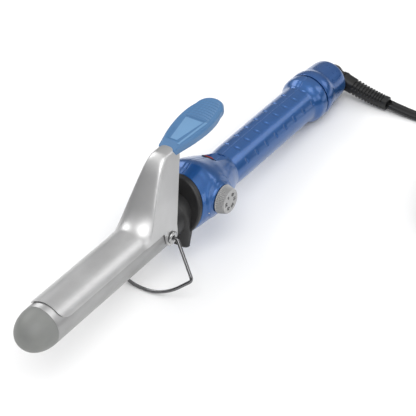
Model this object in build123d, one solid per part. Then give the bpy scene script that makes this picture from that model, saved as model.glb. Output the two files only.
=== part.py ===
"""Spring-clamp curling iron with its mains cord, resting on its wire stand.

The iron is drawn in its own frame, in millimetres: X runs along the barrel axis from the tip
towards the cord, Z points to the side of the clamp, and x = 0 lies inside the blue housing.
The last step tips the iron about Y until it rests on its stand and on the collar of its
handle, and puts the middle of its base at the origin. The cord is drawn where it lies.
"""
from build123d import *
import math
import os

os.makedirs("parts", exist_ok=True)

# ---------------------------------------------------------------- driving dimensions, mm
BARREL_R = 12.7            # a one-inch barrel
BARREL_WALL = 0.8
BARREL_FRONT = -152.0
BARREL_REAR = -11.0
TIP_END = -169.5
TIP_ROUND = 11.2
SLIDE_GAP = 0.1            # between pieces that are pushed into each other
MOVE_GAP = 0.3             # between curved faces of pieces that move apart

CLAMP_SHEET = 0.8
CLAMP_IN_R = BARREL_R + MOVE_GAP
CLAMP_OUT_R = CLAMP_IN_R + CLAMP_SHEET
CLAMP_FRONT = -148.0
CLAMP_HALF_ANGLE = 65.0    # the jaw covers this much of the barrel each side of its top
LEVER_FOOT_X = -64.5       # where the lever leaves the jaw
LEVER_RISE = 57.5          # degrees, slope of the lever's front
LEVER_LEAN = 10.0          # degrees, how much each flange leans inwards
LEVER_TOP_Z = 50.2
LEVER_REAR = [(-23.6, LEVER_TOP_Z), (-24.6, 46.4), (-38.8, 5.4), (-39.4, -10.0)]   # its open edge
EAR_R = 5.5
EAR_TOP_Z = 5.4

PIVOT_X = -45.0            # clamp and stand turn about a line through (PIVOT_X, 0) along Y
EYELET_R = 2.2
EYELET_HEAD_R = 3.9
EYELET_FACE_Y = 15.2
WIRE_R = 1.05

STAND_ANGLE = 70.0         # degrees, how far the deployed stand points below the tip
STAND_REACH = 37.9         # from the pivot line to the middle of the stand's foot
STAND_HALF = [             # one half of the bent wire: distance across, distance outwards, bend
    (11.6, 0.0, 0.0),
    (17.4, 0.0, 2.2),
    (32.7, 21.1, 2.6),
    (20.5, 32.2, 38.0),
    (8.0, STAND_REACH, 32.0),
]

RIM_SLOPE = 0.33           # the housing's front rim leans back by this much per unit of height
RIM_X = -21.5
RIM_R = 18.6
RIM_HALF_HEIGHT = 19.4     # measured along the leaning rim
RIM_Z = 4.1
HOUSING_WALL = 1.4
NECK_X = 28.9
NECK_R = 12.4
GRIP_WALL = 2.2
GRIP_FRONT_R = 12.8
GRIP_REAR_R = 13.05
COLLAR_X = (123.0, 128.0, 134.0)
COLLAR_R = 16.1
COLLAR_REST_X = 140.6      # the collar's rear edge, which rests on the table
CAP_SPIGOT_X = 127.0
CAP_SPIGOT_R = 12.9
CAP_FACE_X = 163.0

DIAL_X, DIAL_Z = -2.4, 5.7
DIAL_R, DIAL_FACE_R = 9.4, 7.8
DIAL_SHAFT_R = 3.0
DIAL_SHAFT_END_Y = -25.0
DIAL_BACK_Y, DIAL_FACE_Y = -21.4, -27.4

CREST_X, CREST_Z = 13.0, 19.0     # the housing's crest, ahead of the notch for the switch
NOTCH_X, NOTCH_Z = 20.0, 12.0     # foot of the notch's slope, level with the grip's top
NOTCH_HALF = 5.4
SWITCH_X, SWITCH_Z = 16.6, 15.4
SWITCH_SLOPE = 45.0        # degrees, fall of the notch where the switch sits

SWIVEL_X = 169.0
SWIVEL_BALL_R = 7.2

CORD_WIDTH = 7.6           # a flat twin cord, 7.6 wide and 4 thick
RELIEF_START = 8.5         # where the relief begins, from the middle of the swivel's ball
RELIEF_BASE_R, RELIEF_END_R = 5.6, 4.65

# The route of the free cord in the resting frame, from the strain relief to the hank.
CORD_ROUTE = [
    (163.6, -43.4, 4.9),
    (163.4, -60.0, 4.0),
    (164.2, -79.0, 3.85),
    (163.9, -98.0, 4.3),
    (163.9, -116.0, 4.3),
]
HANK_R = 24.0              # the hank's turns are straight runs joined by half circles
HANK_RUN = 58.0
HANK_X, HANK_Y = CORD_ROUTE[-1][0] - HANK_R - HANK_RUN / 2, -147.0
HANK_BASE, HANK_TOP = 1.1, 27.7
TIE_WIDTH, TIE_THICK = 18.0, 1.0

PLUG_TAIL_X = -13.0        # where the cord enters the plug, from the middle of the hank
PLUG_LENGTH, PLUG_WIDTH, PLUG_THICK = 28.0, 22.0, 14.0
PLUG_RELIEF = 15.0
BLADE_LENGTH, BLADE_THICK, BLADE_GAP = 17.0, 1.5, 12.7
BLADE_WIDTHS = (6.3, 7.9)

# ---------------------------------------------------------------- small helpers
def turned(points):
    """A solid turned about X from a closed outline of (x, radius) points."""
    face = make_face(Polyline([(x, r) for x, r in points], close=True))
    return revolve(face, axis=Axis.X)


def ring(x0, x1, r_out, r_in):
    """A plain ring about X."""
    return turned([(x0, r_in), (x1, r_in), (x1, r_out), (x0, r_out)])


def rod(start, end, radius):
    """A round rod between two points."""
    line = Vector(*end) - Vector(*start)
    return extrude(Plane(origin=start, z_dir=line) * Circle(radius), amount=line.length)


def block(x, y, z):
    """A box between two limits on each axis."""
    return Pos((x[0] + x[1]) / 2, (y[0] + y[1]) / 2, (z[0] + z[1]) / 2) * Box(
        x[1] - x[0], y[1] - y[0], z[1] - z[0]
    )


def section_plane(x):
    """The plane across the iron at x, whose own x and y are the iron's Y and Z."""
    return Plane(origin=(x, 0, 0), x_dir=(0, 1, 0), z_dir=(1, 0, 0))


def side_view(points, half_width):
    """A side outline of (x, z) points, given thickness along Y."""
    face = make_face(Plane.XZ * Polyline(points, close=True))
    return extrude(face, amount=half_width, both=True)


def bent_tube(points, radius, bends):
    """A round tube along straight runs joined by arcs."""
    path = FilletPolyline(*points, radius=bends)
    start = Plane(origin=path @ 0, z_dir=path % 0)
    return sweep(start * Circle(radius), path=path)


def mirrored(shape):
    """The same piece on the other side of the iron."""
    return mirror(shape, about=Plane.XZ)


def group(*solids):
    """Separate solids that share one node."""
    return Compound(children=[solid.solids()[0] for solid in solids])


# ---------------------------------------------------------------- barrel and heater
def barrel_tube():
    tube = ring(BARREL_FRONT, BARREL_REAR, BARREL_R, BARREL_R - BARREL_WALL)
    reach = 2 * BARREL_R
    return tube - rod((PIVOT_X, -reach, 0), (PIVOT_X, reach, 0), EYELET_R)


def tip_cap():
    """A plain plastic cap with a domed end and a spigot inside the barrel."""
    spigot_r = BARREL_R - BARREL_WALL - SLIDE_GAP
    spigot_end = BARREL_FRONT + 10
    bore_r = spigot_r - 1.8
    bore_start = BARREL_FRONT - 4
    dome = ring(TIP_END, BARREL_FRONT, BARREL_R, 0.0)
    dome = fillet(dome.edges().sort_by(Axis.X)[0], TIP_ROUND)
    spigot = ring(BARREL_FRONT, spigot_end, spigot_r, 0.0)
    return dome + spigot - ring(bore_start, spigot_end + 1, bore_r, 0.0)


HEATER_X = (-138.0, -62.0)
HEATER_HALF_THICK = 1.6
SPREADER_R = BARREL_R - BARREL_WALL - 0.4


def heat_spreader(side):
    """One of two aluminium half rounds that press the heater plate: side is 1 or -1."""
    half_rod = ring(HEATER_X[0], HEATER_X[1], SPREADER_R, 0.0)
    flat = HEATER_HALF_THICK if side > 0 else -SPREADER_R - 1
    top = SPREADER_R + 1 if side > 0 else -HEATER_HALF_THICK
    return half_rod & block(HEATER_X, (-SPREADER_R, SPREADER_R), (flat, top))


def ptc_heater():
    return block((HEATER_X[0] + 4, HEATER_X[1]), (-8, 8), (-HEATER_HALF_THICK, HEATER_HALF_THICK))


LEAD_Y = 4.0
LEAD_R = 0.7
LEAD_Z = 4.4
BOARD_X = (58.0, 98.0)
BOARD_TOP = -2.2


def heater_lead(side):
    points = [
        (HEATER_X[1], side * LEAD_Y, 0),
        (HEATER_X[1] + 10, side * LEAD_Y, 0),
        (HEATER_X[1] + 24, side * LEAD_Y, LEAD_Z),
        (BOARD_X[0] - 6, side * LEAD_Y, LEAD_Z),
        (BOARD_X[0] + 4, side * LEAD_Y, BOARD_TOP + LEAD_R),
    ]
    return bent_tube(points, LEAD_R, 5.0)


def thermal_fuse():
    """A small thermal cut-out lying on one heater lead."""
    z = LEAD_Z + LEAD_R + 1.7
    return rod((-6, LEAD_Y, z), (5, LEAD_Y, z), 1.6)


def temperature_sensor():
    """A glass bead sensor at the rear end of the upper spreader."""
    return rod((HEATER_X[1], 0, 6), (HEATER_X[1] + 7, 0, 6), 1.2)


def barrel_insulator():
    """A phenolic bush in the rear end of the barrel, with a lip behind it."""
    bush_r = BARREL_R - BARREL_WALL - SLIDE_GAP
    return turned([
        (-30, 8.2),
        (BARREL_REAR + 3, 8.2),
        (BARREL_REAR + 3, BARREL_R - 0.2),
        (BARREL_REAR, BARREL_R - 0.2),
        (BARREL_REAR, bush_r),
        (-30, bush_r),
    ])


def pivot_ring():
    """A steel ring inside the barrel that backs the two eyelets."""
    outer = BARREL_R - BARREL_WALL - 0.05
    body = ring(PIVOT_X - 6, PIVOT_X + 6, outer, 10.6)
    return body - rod((PIVOT_X, -20, 0), (PIVOT_X, 20, 0), EYELET_R)


def pivot_eyelet(side):
    """A hollow rivet: the clamp turns on it and the end of the stand sits in it."""
    inner, neck, face = 9.4, 14.1, EYELET_FACE_Y
    shank = rod((PIVOT_X, side * inner, 0), (PIVOT_X, side * neck, 0), EYELET_R)
    head = rod((PIVOT_X, side * neck, 0), (PIVOT_X, side * face, 0), EYELET_HEAD_R)
    head = fillet(head.faces().sort_by(Axis.Y)[-1 if side > 0 else 0].edges(), 0.7)
    flare = rod((PIVOT_X, side * inner, 0), (PIVOT_X, side * 10.0, 0), 3.2)
    bore = rod((PIVOT_X, side * 11.2, 0), (PIVOT_X, side * 20, 0), WIRE_R + 0.05)
    return shank + head + flare - bore


# ---------------------------------------------------------------- clamp
def jaw_sector(x0, x1, half_angle):
    """A piece of the jaw's round sheet, from its top down to half_angle each side."""
    reach = 3 * CLAMP_OUT_R
    sheet = ring(x0, x1, CLAMP_OUT_R, CLAMP_IN_R)
    a = math.radians(half_angle)
    side = (reach * math.sin(a), reach * math.cos(a))
    corners = [(0, 0), (side[0], side[1]), (side[0], reach), (-side[0], reach), (-side[0], side[1])]
    wedge = make_face(section_plane(x0 - 1) * Polyline(corners, close=True))
    return sheet & extrude(wedge, amount=x1 - x0 + 2)


def jaw():
    """The half-round jaw, with its front corners rounded off."""
    sheet = jaw_sector(CLAMP_FRONT, LEVER_FOOT_X + 9, CLAMP_HALF_ANGLE)
    corner_r = 5.5
    edge_z = CLAMP_OUT_R * math.cos(math.radians(CLAMP_HALF_ANGLE))
    rounding = block(
        (CLAMP_FRONT - 1, CLAMP_FRONT + corner_r), (-20, 20), (edge_z - 4, edge_z + corner_r)
    ) - rod(
        (CLAMP_FRONT + corner_r, -20, edge_z + corner_r),
        (CLAMP_FRONT + corner_r, 20, edge_z + corner_r),
        corner_r,
    )
    return sheet - rounding


def lever_solid(radius, inset):
    """The filled shape of the lever, inset by the sheet's thickness for its inner face."""
    rise = math.radians(LEVER_RISE)
    lean = math.radians(LEVER_LEAN)
    foot_x = LEVER_FOOT_X + inset / math.sin(rise)
    tall = 70.0
    crown = section_plane(foot_x - 20 / math.tan(rise)) * (
        Pos(0, -20) * (Circle(radius) + Pos(0, -tall / 2) * Rectangle(2 * radius, tall))
    )
    arch = extrude(crown, amount=150, dir=(math.cos(rise), 0, math.sin(rise)))

    tangent_z = radius * math.sin(lean)
    tangent_y = radius * math.cos(lean)
    high = 70.0
    high_y = (radius - high * math.sin(lean)) / math.cos(lean)
    cheeks = [(radius, -tall), (radius, 0), (tangent_y, tangent_z), (high_y, high)]
    outline = cheeks + [(-y, z) for y, z in reversed(cheeks)]
    wedge = extrude(make_face(section_plane(-90) * Polyline(outline, close=True)), amount=120)

    top = LEVER_TOP_Z - inset
    front = [(LEVER_FOOT_X - 16, -10), (LEVER_FOOT_X - 16, top)]
    rear = [(x + 30 * inset, min(z, top)) for x, z in LEVER_REAR]
    body = arch & wedge & side_view(front + rear, 20)
    return body


def lever_sheet():
    """The rising channel, open at the rear, with the two ears that turn on the eyelets."""
    walls = lever_solid(CLAMP_OUT_R, 0.0) - lever_solid(CLAMP_IN_R, CLAMP_SHEET)
    channel = walls & block((-120, 0), (-20, 20), (EAR_TOP_Z, 80))
    ear = Pos(PIVOT_X, 0, 0) * Cylinder(EAR_R, 60, rotation=(90, 0, 0))
    ear += block((PIVOT_X - EAR_R, PIVOT_X + EAR_R), (-30, 30), (0, EAR_TOP_Z + 0.5))
    return (channel + (walls & ear)) - ring(-120, 0, CLAMP_IN_R, 0.0)


def tongue():
    """The flat strip that carries the thumb paddle."""
    strip = side_view([
        (-27, LEVER_TOP_Z - CLAMP_SHEET),
        (-27, LEVER_TOP_Z),
        (-18, LEVER_TOP_Z),
        (8, LEVER_TOP_Z + 2.6),
        (8, LEVER_TOP_Z + 2.6 - CLAMP_SHEET),
        (-18, LEVER_TOP_Z - CLAMP_SHEET),
    ], 4.2)
    return strip


def clamp_lever():
    body = jaw() + lever_sheet() + tongue()
    hole = rod((PIVOT_X, -20, 0), (PIVOT_X, 20, 0), EYELET_R + 0.05)
    for x in RIVET_X:
        body -= rod((x, 0, 40), (x, 0, 60), RIVET_R + 0.02)
    return body - hole


RIVET_X = (-13.0, 1.0)
RIVET_R = 1.5
PADDLE_SLOPE = 5.6         # degrees, the paddle rises towards its rear end


def paddle_place():
    return Pos(-4, 0, LEVER_TOP_Z + 1.4) * Rot(0, -PADDLE_SLOPE, 0)


PADDLE_HALF = [            # distance along the paddle from its middle, half width
    (-26.5, 5.6),
    (-20.0, 7.2),
    (-12.0, 9.2),
    (-4.0, 10.5),
    (4.0, 11.1),
    (12.0, 10.6),
    (18.0, 9.2),
    (24.0, 6.2),
    (28.0, 0.0),
]
PADDLE_THICK = 5.6


def thumb_paddle():
    """An egg-shaped plastic pad moulded round the tongue."""
    far_side = [(x, -y) for x, y in reversed(PADDLE_HALF[:-1])]
    rim = Spline(*PADDLE_HALF, *far_side)
    pad = extrude(make_face(rim + Line(rim @ 1, rim @ 0)), amount=PADDLE_THICK)
    top_edge = pad.faces().sort_by(Axis.Z)[-1].edges().sort_by(SortBy.LENGTH)[-1]
    pad = fillet(top_edge, 1.4)
    pad = paddle_place() * Pos(0, 0, -3.4) * pad
    return pad - tongue_slot() - rivet_holes()


def tongue_slot():
    """Room for the tongue and for the top end of the lever."""
    slot = side_view([
        (-40, LEVER_TOP_Z - CLAMP_SHEET),
        (-40, LEVER_TOP_Z + 0.05),
        (-18, LEVER_TOP_Z + 0.05),
        (8.1, LEVER_TOP_Z + 2.66),
        (8.1, LEVER_TOP_Z + 2.6 - CLAMP_SHEET - 0.05),
        (-18, LEVER_TOP_Z - CLAMP_SHEET - 0.05),
    ], 4.25)
    mouth = block((-40, -23.5), (-20, 20), (30, LEVER_TOP_Z + 0.05))
    return slot + mouth


def rivet_holes():
    holes = [rod((x, 0, 40), (x, 0, LEVER_TOP_Z + 1.6), RIVET_R) for x in RIVET_X]
    return holes[0] + holes[1]


def paddle_rivet(x):
    """A rivet from below through the paddle and its tongue."""
    base = LEVER_TOP_Z - 2.6 + (x + 4) * math.tan(math.radians(PADDLE_SLOPE))
    shank = rod((x, 0, base), (x, 0, LEVER_TOP_Z + 1.6), RIVET_R)
    return shank + rod((x, 0, base - 1.4), (x, 0, base - 0.4), 2.6) + rod(
        (x, 0, base - 0.4), (x, 0, base), RIVET_R
    )


def clamp_spring():
    """A leaf spring folded like a V between the barrel and the web of the lever."""
    rise = math.radians(LEVER_RISE)
    low_z, front_x, thick = 13.0, -53.6, 0.6
    reach = 28.0
    bend = (front_x - 4, low_z)
    tip = (bend[0] + reach * math.cos(rise), low_z + reach * math.sin(rise))
    centre = FilletPolyline((-34, low_z), bend, tip, radius=2.2)
    leaf = Plane.XZ * trace(centre, line_width=thick)
    return Pos(0, 0, 0.35) * extrude(leaf, amount=4, both=True)


# ---------------------------------------------------------------- stand
def stand_point(y, r):
    """A point of the stand's plane: y across the iron and r outwards from the pivot line."""
    a = math.radians(STAND_ANGLE)
    return Vector(PIVOT_X - r * math.cos(a), y, -r * math.sin(a))


def stand_wire():
    """One bent wire: two ends in the eyelets, two splayed legs and a bowed foot."""
    outline = STAND_HALF + [(-y, r, bend) for y, r, bend in reversed(STAND_HALF)]
    corners = [stand_point(y, r) for y, r, _ in outline]
    path = FilletPolyline(*corners, radius=[bend for _, _, bend in outline[1:-1]])
    start = Plane(origin=path @ 0, z_dir=path % 0)
    return sweep(start * Circle(WIRE_R), path=path)


# ---------------------------------------------------------------- heat shield and housing
def rim_plane(back=0.0):
    """The leaning plane of the housing's front rim, moved back along X."""
    return Plane(
        origin=(RIM_X + RIM_SLOPE * RIM_Z + back, 0, RIM_Z),
        x_dir=(0, 1, 0),
        z_dir=(1, 0, -RIM_SLOPE),
    )


def heat_shield():
    """The black collar: a leaning disc and a block round the barrel that hangs below it."""
    disc = extrude(rim_plane() * Circle(RIM_R - 0.3), amount=-3.6)
    disc = fillet(disc.edges().sort_by(Axis.X)[0], 1.2)
    half, top_z, bottom_z, front_x = 14.3, -1.2, -18.4, -31.0
    outline = Pos(0, top_z) * Circle(half) + Pos(0, (top_z + bottom_z) / 2) * Rectangle(
        2 * half, top_z - bottom_z
    )
    neck = extrude(section_plane(front_x) * outline, amount=24)
    corners = neck.edges().filter_by(Axis.Z)
    neck = fillet(corners.group_by(Axis.X)[0], 4.0)
    behind = extrude(rim_plane() * Rectangle(120, 120), amount=60)
    shield = disc + (neck - behind)
    return shield - ring(-60, 20, BARREL_R + 0.02, 0.0)


BOSS_X = (50.0, 106.0)
BOSS_R = 3.4
SCREW_R = 1.5
SCREW_HEAD_R = 2.75
SCREW_SEAT_Y = 10.0
DIAL_POCKET_Y = DIAL_BACK_Y + 0.4
DIAL_POCKET_R = DIAL_R + 0.5
HUMP_SECTIONS = [          # x, half width, half height, height of the centre
    (-3.0, 21.6, 20.1, 5.2),
    (8.5, 20.2, 17.8, 3.2),
    (18.5, 16.9, 15.2, 1.5),
    (NECK_X, GRIP_FRONT_R + 0.1, GRIP_FRONT_R + 0.1, 0.0),
]


SHOULDER = (-14.3, 0.197, 4.7)   # a plane leaning less than the rim: x at z = 0, lean, middle
SHOULDER_OVAL = (20.4, 19.4)     # half width and half height there


def half_oval(plane, half_width, half_height, z=0.0):
    """The right half of an oval in a plane across the iron."""
    oval = Pos(0, z) * Ellipse(half_width, half_height)
    window = Pos(-half_width, z) * Rectangle(2 * half_width, 4 * half_height)
    return (plane * (oval & window)).faces()[0]


def switch_notch(inset):
    """The notch behind the housing's crest: a slope for the switch, then the grip's level."""
    drop = inset * math.sqrt(2)
    return side_view([
        (CREST_X - drop - 5, CREST_Z + 5),
        (NOTCH_X - inset * math.tan(math.radians(22.5)), NOTCH_Z - inset),
        (NECK_X + 5, NOTCH_Z - inset),
        (NECK_X + 5, CREST_Z + 20),
        (CREST_X - drop - 5, CREST_Z + 20),
    ], NOTCH_HALF + inset)


def hump(side, inset):
    """One half of the swollen front of the housing, from its leaning rim to the neck."""
    x, lean, z = SHOULDER
    shoulder = Plane(origin=(x + lean * z, 0, z), x_dir=(0, 1, 0), z_dir=(1, 0, -lean))
    sections = [
        half_oval(rim_plane(), RIM_R - inset, RIM_HALF_HEIGHT - inset),
        half_oval(shoulder, SHOULDER_OVAL[0] - inset, SHOULDER_OVAL[1] - inset),
    ]
    for x, half_width, half_height, z in HUMP_SECTIONS:
        sections.append(half_oval(section_plane(x), half_width - inset, half_height - inset, z))
    right = loft(sections)
    whole_half = right if side < 0 else mirrored(right)
    return whole_half - switch_notch(inset)


def grip(side):
    """One half of the round grip, with the flare of the collar at its rear end."""
    x_rise, x_full, x_end = COLLAR_X
    bore = GRIP_FRONT_R - GRIP_WALL
    outline = Polyline(
        (NECK_X, bore),
        (NECK_X, NECK_R),
        (NECK_X + 11, GRIP_FRONT_R),
        (x_rise, GRIP_REAR_R),
        (x_rise + 1.6, GRIP_REAR_R + 0.5),
        (x_full - 1.2, COLLAR_R - 0.5),
        (x_full + 0.6, COLLAR_R),
        (x_end, COLLAR_R),
        (x_end, CAP_SPIGOT_R + SLIDE_GAP),
        (CAP_SPIGOT_X - 0.5, CAP_SPIGOT_R + SLIDE_GAP),
        (CAP_SPIGOT_X - 0.5, bore),
        close=True,
    )
    whole = revolve(make_face(outline), axis=Axis.X)
    half = whole & block((NECK_X - 1, x_end + 1), (0, 40) if side > 0 else (-40, 0), (-40, 40))
    for x in BOSS_X:
        boss, hole = screw_boss(x, side)
        half = half + boss - hole
    return half


def screw_boss(x, side):
    """A boss and its hole: clear and countersunk on the left side, blind on the right one."""
    boss = rod((x, 0, 0), (x, side * 11.6, 0), BOSS_R)
    if side > 0:
        return boss, rod((x, 0, 0), (x, 30, 0), SCREW_R + 0.1) + rod(
            (x, SCREW_SEAT_Y, 0), (x, 30, 0), SCREW_HEAD_R + 0.15
        )
    return boss, rod((x, 0, 0), (x, -9, 0), SCREW_R)


def housing_half(side):
    """One half of the blue housing: side is 1 for the left half and -1 for the right one."""
    shell = hump(side, 0.0) - hump(side, HOUSING_WALL)
    if side < 0:
        floor_y = DIAL_POCKET_Y + 2.2
        shell += rod((DIAL_X, DIAL_POCKET_Y, DIAL_Z), (DIAL_X, floor_y, DIAL_Z), DIAL_POCKET_R + 1.6)
        shell -= rod((DIAL_X, DIAL_POCKET_Y, DIAL_Z), (DIAL_X, -40, DIAL_Z), DIAL_POCKET_R)
        shell -= rod((DIAL_X, 0, DIAL_Z), (DIAL_X, -40, DIAL_Z), DIAL_SHAFT_R + 0.3)
    return shell - switch_cutout() + grip(side)


def housing_screw(x):
    shank = rod((x, -9, 0), (x, SCREW_SEAT_Y, 0), SCREW_R)
    head = rod((x, SCREW_SEAT_Y, 0), (x, SCREW_SEAT_Y + 1.8, 0), SCREW_HEAD_R)
    drive = rod((x, SCREW_SEAT_Y + 1, 0), (x, SCREW_SEAT_Y + 2, 0), 1.2)
    return shank + head - drive


# ---------------------------------------------------------------- rear cap and cord swivel
def end_cap():
    """The rear cap: a spigot in the housing, the rest of the collar and a plain end."""
    x = COLLAR_X[2]
    body = turned([
        (CAP_SPIGOT_X, 11.0),
        (CAP_SPIGOT_X, CAP_SPIGOT_R),
        (x, CAP_SPIGOT_R),
        (x, 14.8),
        (x + 1.3, 14.8),
        (x + 1.3, COLLAR_R),
        (COLLAR_REST_X, COLLAR_R),
        (x + 8.8, COLLAR_R - 0.5),
        (x + 11.5, 14.6),
        (x + 18.0, 14.3),
        (CAP_FACE_X - 1.6, 13.7),
        (CAP_FACE_X - 0.5, 13.2),
        (CAP_FACE_X, 12.2),
        (CAP_FACE_X, 6.3),
        (152.3, 6.3),
        (152.3, 11.0),
    ])
    return body


def swivel_axis():
    """From the swivel's ball to the cord's exit, in the iron's own frame."""
    ball = Vector(SWIVEL_X, 0, 0)
    return ball, (to_iron(CORD_ROUTE[0]) - ball)


def cord_swivel():
    """A spindle that turns in the rear cap and an elbow that holds the strain relief."""
    spindle = turned([
        (138.0, 0.0),
        (138.0, 4.0),
        (149.0, 4.0),
        (149.0, 9.0),
        (152.0, 9.0),
        (152.0, 6.2),
        (163.6, 6.2),
        (163.6, 0.0),
    ])
    ball, line = swivel_axis()
    neck = rod(ball, ball + line.normalized() * RELIEF_START, RELIEF_BASE_R)
    return spindle + Pos(*ball) * Sphere(SWIVEL_BALL_R) + neck


def swivel_contact(x):
    return ring(x, x + 2.5, 5.4, 4.0)


def strain_relief():
    """A tapered rubber sleeve that bends a little to meet the cord squarely."""
    ball, line = swivel_axis()
    cord_way = to_iron(CORD_ROUTE[1]) - to_iron(CORD_ROUTE[0])
    foot = Plane(origin=ball + line.normalized() * RELIEF_START, z_dir=line)
    end = Plane(origin=ball + line, z_dir=cord_way)
    return loft([(foot * Circle(RELIEF_BASE_R)).faces()[0], (end * Circle(RELIEF_END_R)).faces()[0]])


def mains_lead(side):
    return rod((BOARD_X[1] + 1, side * 3.0, 5.0), (139.5, side * 3.0, 5.0), 0.9)


# ---------------------------------------------------------------- controls
def control_board():
    return block(BOARD_X, (-8, 8), (BOARD_TOP - 1.6, BOARD_TOP))


def board_components():
    """The triac on its heat sink, a capacitor and a fuse holder."""
    triac = block((84, 94), (-4, 4), (BOARD_TOP, 5.0))
    capacitor = rod((75, 2, BOARD_TOP), (75, 2, 6.0), 3.0)
    fuse = block((64.5, 70), (-5, 5), (BOARD_TOP, 2.2))
    return group(triac, capacitor, fuse)


def potentiometer():
    """The control behind the dial, with a hole for its turning shaft."""
    body = block((DIAL_X - 5.6, DIAL_X + 7), (-16.2, -10.6), (DIAL_Z - 7, DIAL_Z + 7))
    return body - rod((DIAL_X, -9, DIAL_Z), (DIAL_X, -18, DIAL_Z), DIAL_SHAFT_R + 0.05)


def dial_shaft():
    return rod((DIAL_X, -11.0, DIAL_Z), (DIAL_X, DIAL_SHAFT_END_Y, DIAL_Z), DIAL_SHAFT_R)


def temperature_dial():
    """The dial's wheel, which narrows towards its face, with a blind hole for its shaft."""
    middle = Pos(DIAL_X, (DIAL_BACK_Y + DIAL_FACE_Y) / 2, DIAL_Z)
    thick = DIAL_BACK_Y - DIAL_FACE_Y
    wheel = middle * Cone(DIAL_R, DIAL_FACE_R, thick, rotation=(90, 0, 0))
    wheel = fillet(wheel.faces().sort_by(Axis.Y)[0].edges(), 0.8)
    hole = rod((DIAL_X, DIAL_BACK_Y + 1, DIAL_Z), (DIAL_X, DIAL_SHAFT_END_Y, DIAL_Z), DIAL_SHAFT_R)
    return wheel - hole


def switch_place():
    """The switch's own frame: z outwards from the housing, x along its fall."""
    return Plane(
        origin=(SWITCH_X, 0, SWITCH_Z),
        x_dir=(math.cos(math.radians(SWITCH_SLOPE)), 0, -math.sin(math.radians(SWITCH_SLOPE))),
        z_dir=(math.sin(math.radians(SWITCH_SLOPE)), 0, math.cos(math.radians(SWITCH_SLOPE))),
    )


SWITCH_LENGTH, SWITCH_WIDTH, SWITCH_DEPTH = 9.2, 8.4, 8.2
ROCKER_LENGTH, ROCKER_WIDTH = 7.4, 6.4
ROCKER_PIVOT_Z = -1.6      # the rocker's pin, measured from the switch's own origin
ROCKER_PIN_R = 1.0


def switch_cutout():
    return switch_place() * (Pos(0, 0, -1) * Box(SWITCH_LENGTH + 0.1, SWITCH_WIDTH + 0.1, 12))


def rocker_pin(radius, half_length):
    """The line that the rocker turns on, as a round bar."""
    return rod((0, -half_length, ROCKER_PIVOT_Z), (0, half_length, ROCKER_PIVOT_Z), radius)


def switch_body():
    """The rocker switch's case, open on top for the rocker."""
    case = Pos(0, 0, (0.6 - SWITCH_DEPTH) / 2) * Box(SWITCH_LENGTH, SWITCH_WIDTH, SWITCH_DEPTH + 0.6)
    well = Box(ROCKER_LENGTH + 1.0, ROCKER_WIDTH + 0.6, SWITCH_DEPTH)
    return switch_place() * (case - well - rocker_pin(ROCKER_PIN_R + 0.05, 4.1))


def switch_rocker():
    """The red rocker with its two pins, raised at the end that isn't pressed."""
    outline = [(-3.6, -1.6), (-3.6, 1.7), (0.0, 0.6), (3.6, 0.6), (3.6, -1.6), (0, -3.0)]
    rocker = side_view(outline, ROCKER_WIDTH / 2)
    return switch_place() * (rocker + rocker_pin(ROCKER_PIN_R, 4.0))


# ---------------------------------------------------------------- the resting pose
def resting_tilt():
    """The angle about Y at which the stand's foot and the collar touch one level surface."""
    a = math.radians(STAND_ANGLE)
    foot_x = PIVOT_X - STAND_REACH * math.cos(a)
    foot_z = -STAND_REACH * math.sin(a)
    along, drop = COLLAR_REST_X - foot_x, -(COLLAR_R + foot_z)
    return math.atan2(drop, along) + math.asin(WIRE_R / math.hypot(along, drop))


def resting_centre():
    """How far ahead of the iron's x = 0 the middle of the resting iron lies."""
    flat_r = BARREL_R - TIP_ROUND
    front = (TIP_END + TIP_ROUND) * math.cos(TILT) - flat_r * math.sin(TILT) - TIP_ROUND
    rear = SWIVEL_X * math.cos(TILT) + SWIVEL_BALL_R
    return (front + rear) / 2


TILT = resting_tilt()
LIFT = COLLAR_REST_X * math.sin(TILT) + COLLAR_R * math.cos(TILT)
CENTRE_X = resting_centre()


def to_iron(point):
    """A point of the resting frame, in the iron's own frame."""
    x, y, z = point[0] + CENTRE_X, point[1], point[2] - LIFT
    return Vector(
        x * math.cos(TILT) - z * math.sin(TILT), y, x * math.sin(TILT) + z * math.cos(TILT)
    )


def at_rest(shape):
    """Tips a piece of the iron into the resting pose."""
    return Pos(-CENTRE_X, 0, LIFT) * Rot(0, math.degrees(TILT), 0) * shape


# ---------------------------------------------------------------- cord, drawn where it lies
def corner_radii(points):
    """For each corner, 0.45 of its shorter run over the tangent of half its turn."""
    radii = []
    for before, corner, after in zip(points, points[1:], points[2:]):
        a = Vector(*corner) - Vector(*before)
        b = Vector(*after) - Vector(*corner)
        half_turn = math.radians(a.get_angle(b)) / 2
        radii.append(0.45 * min(a.length, b.length) / math.tan(half_turn))
    return radii


def power_cord():
    radii = corner_radii(CORD_ROUTE)
    path = FilletPolyline(*CORD_ROUTE, radius=radii)
    start = Plane(origin=path @ 0, z_dir=path % 0)
    tube = sweep(start * Circle(CORD_WIDTH / 2), path=path)
    plain = math.pi * (CORD_WIDTH / 2) ** 2 * path.length
    print("cord radii", [round(r) for r in radii], "length", round(path.length, 1),
          "volume ratio", round(tube.volume / plain, 4))
    return tube


def hank_slab(radius, low, high):
    """An upright slab whose outline is the hank's: two half circles joined by straight runs."""
    outline = Pos(HANK_X, HANK_Y, low) * SlotCenterToCenter(HANK_RUN, 2 * radius)
    return extrude(outline, amount=high - low)


def plug_place():
    """The plug's own frame: z along its blades, x upwards, and the middle of its body."""
    middle = HANK_X + PLUG_TAIL_X + PLUG_RELIEF + PLUG_LENGTH / 2
    origin = (middle, HANK_Y + HANK_R, HANK_TOP + PLUG_THICK / 2)
    return Plane(origin=origin, x_dir=(0, 0, 1), z_dir=(1, 0, 0))


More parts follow.
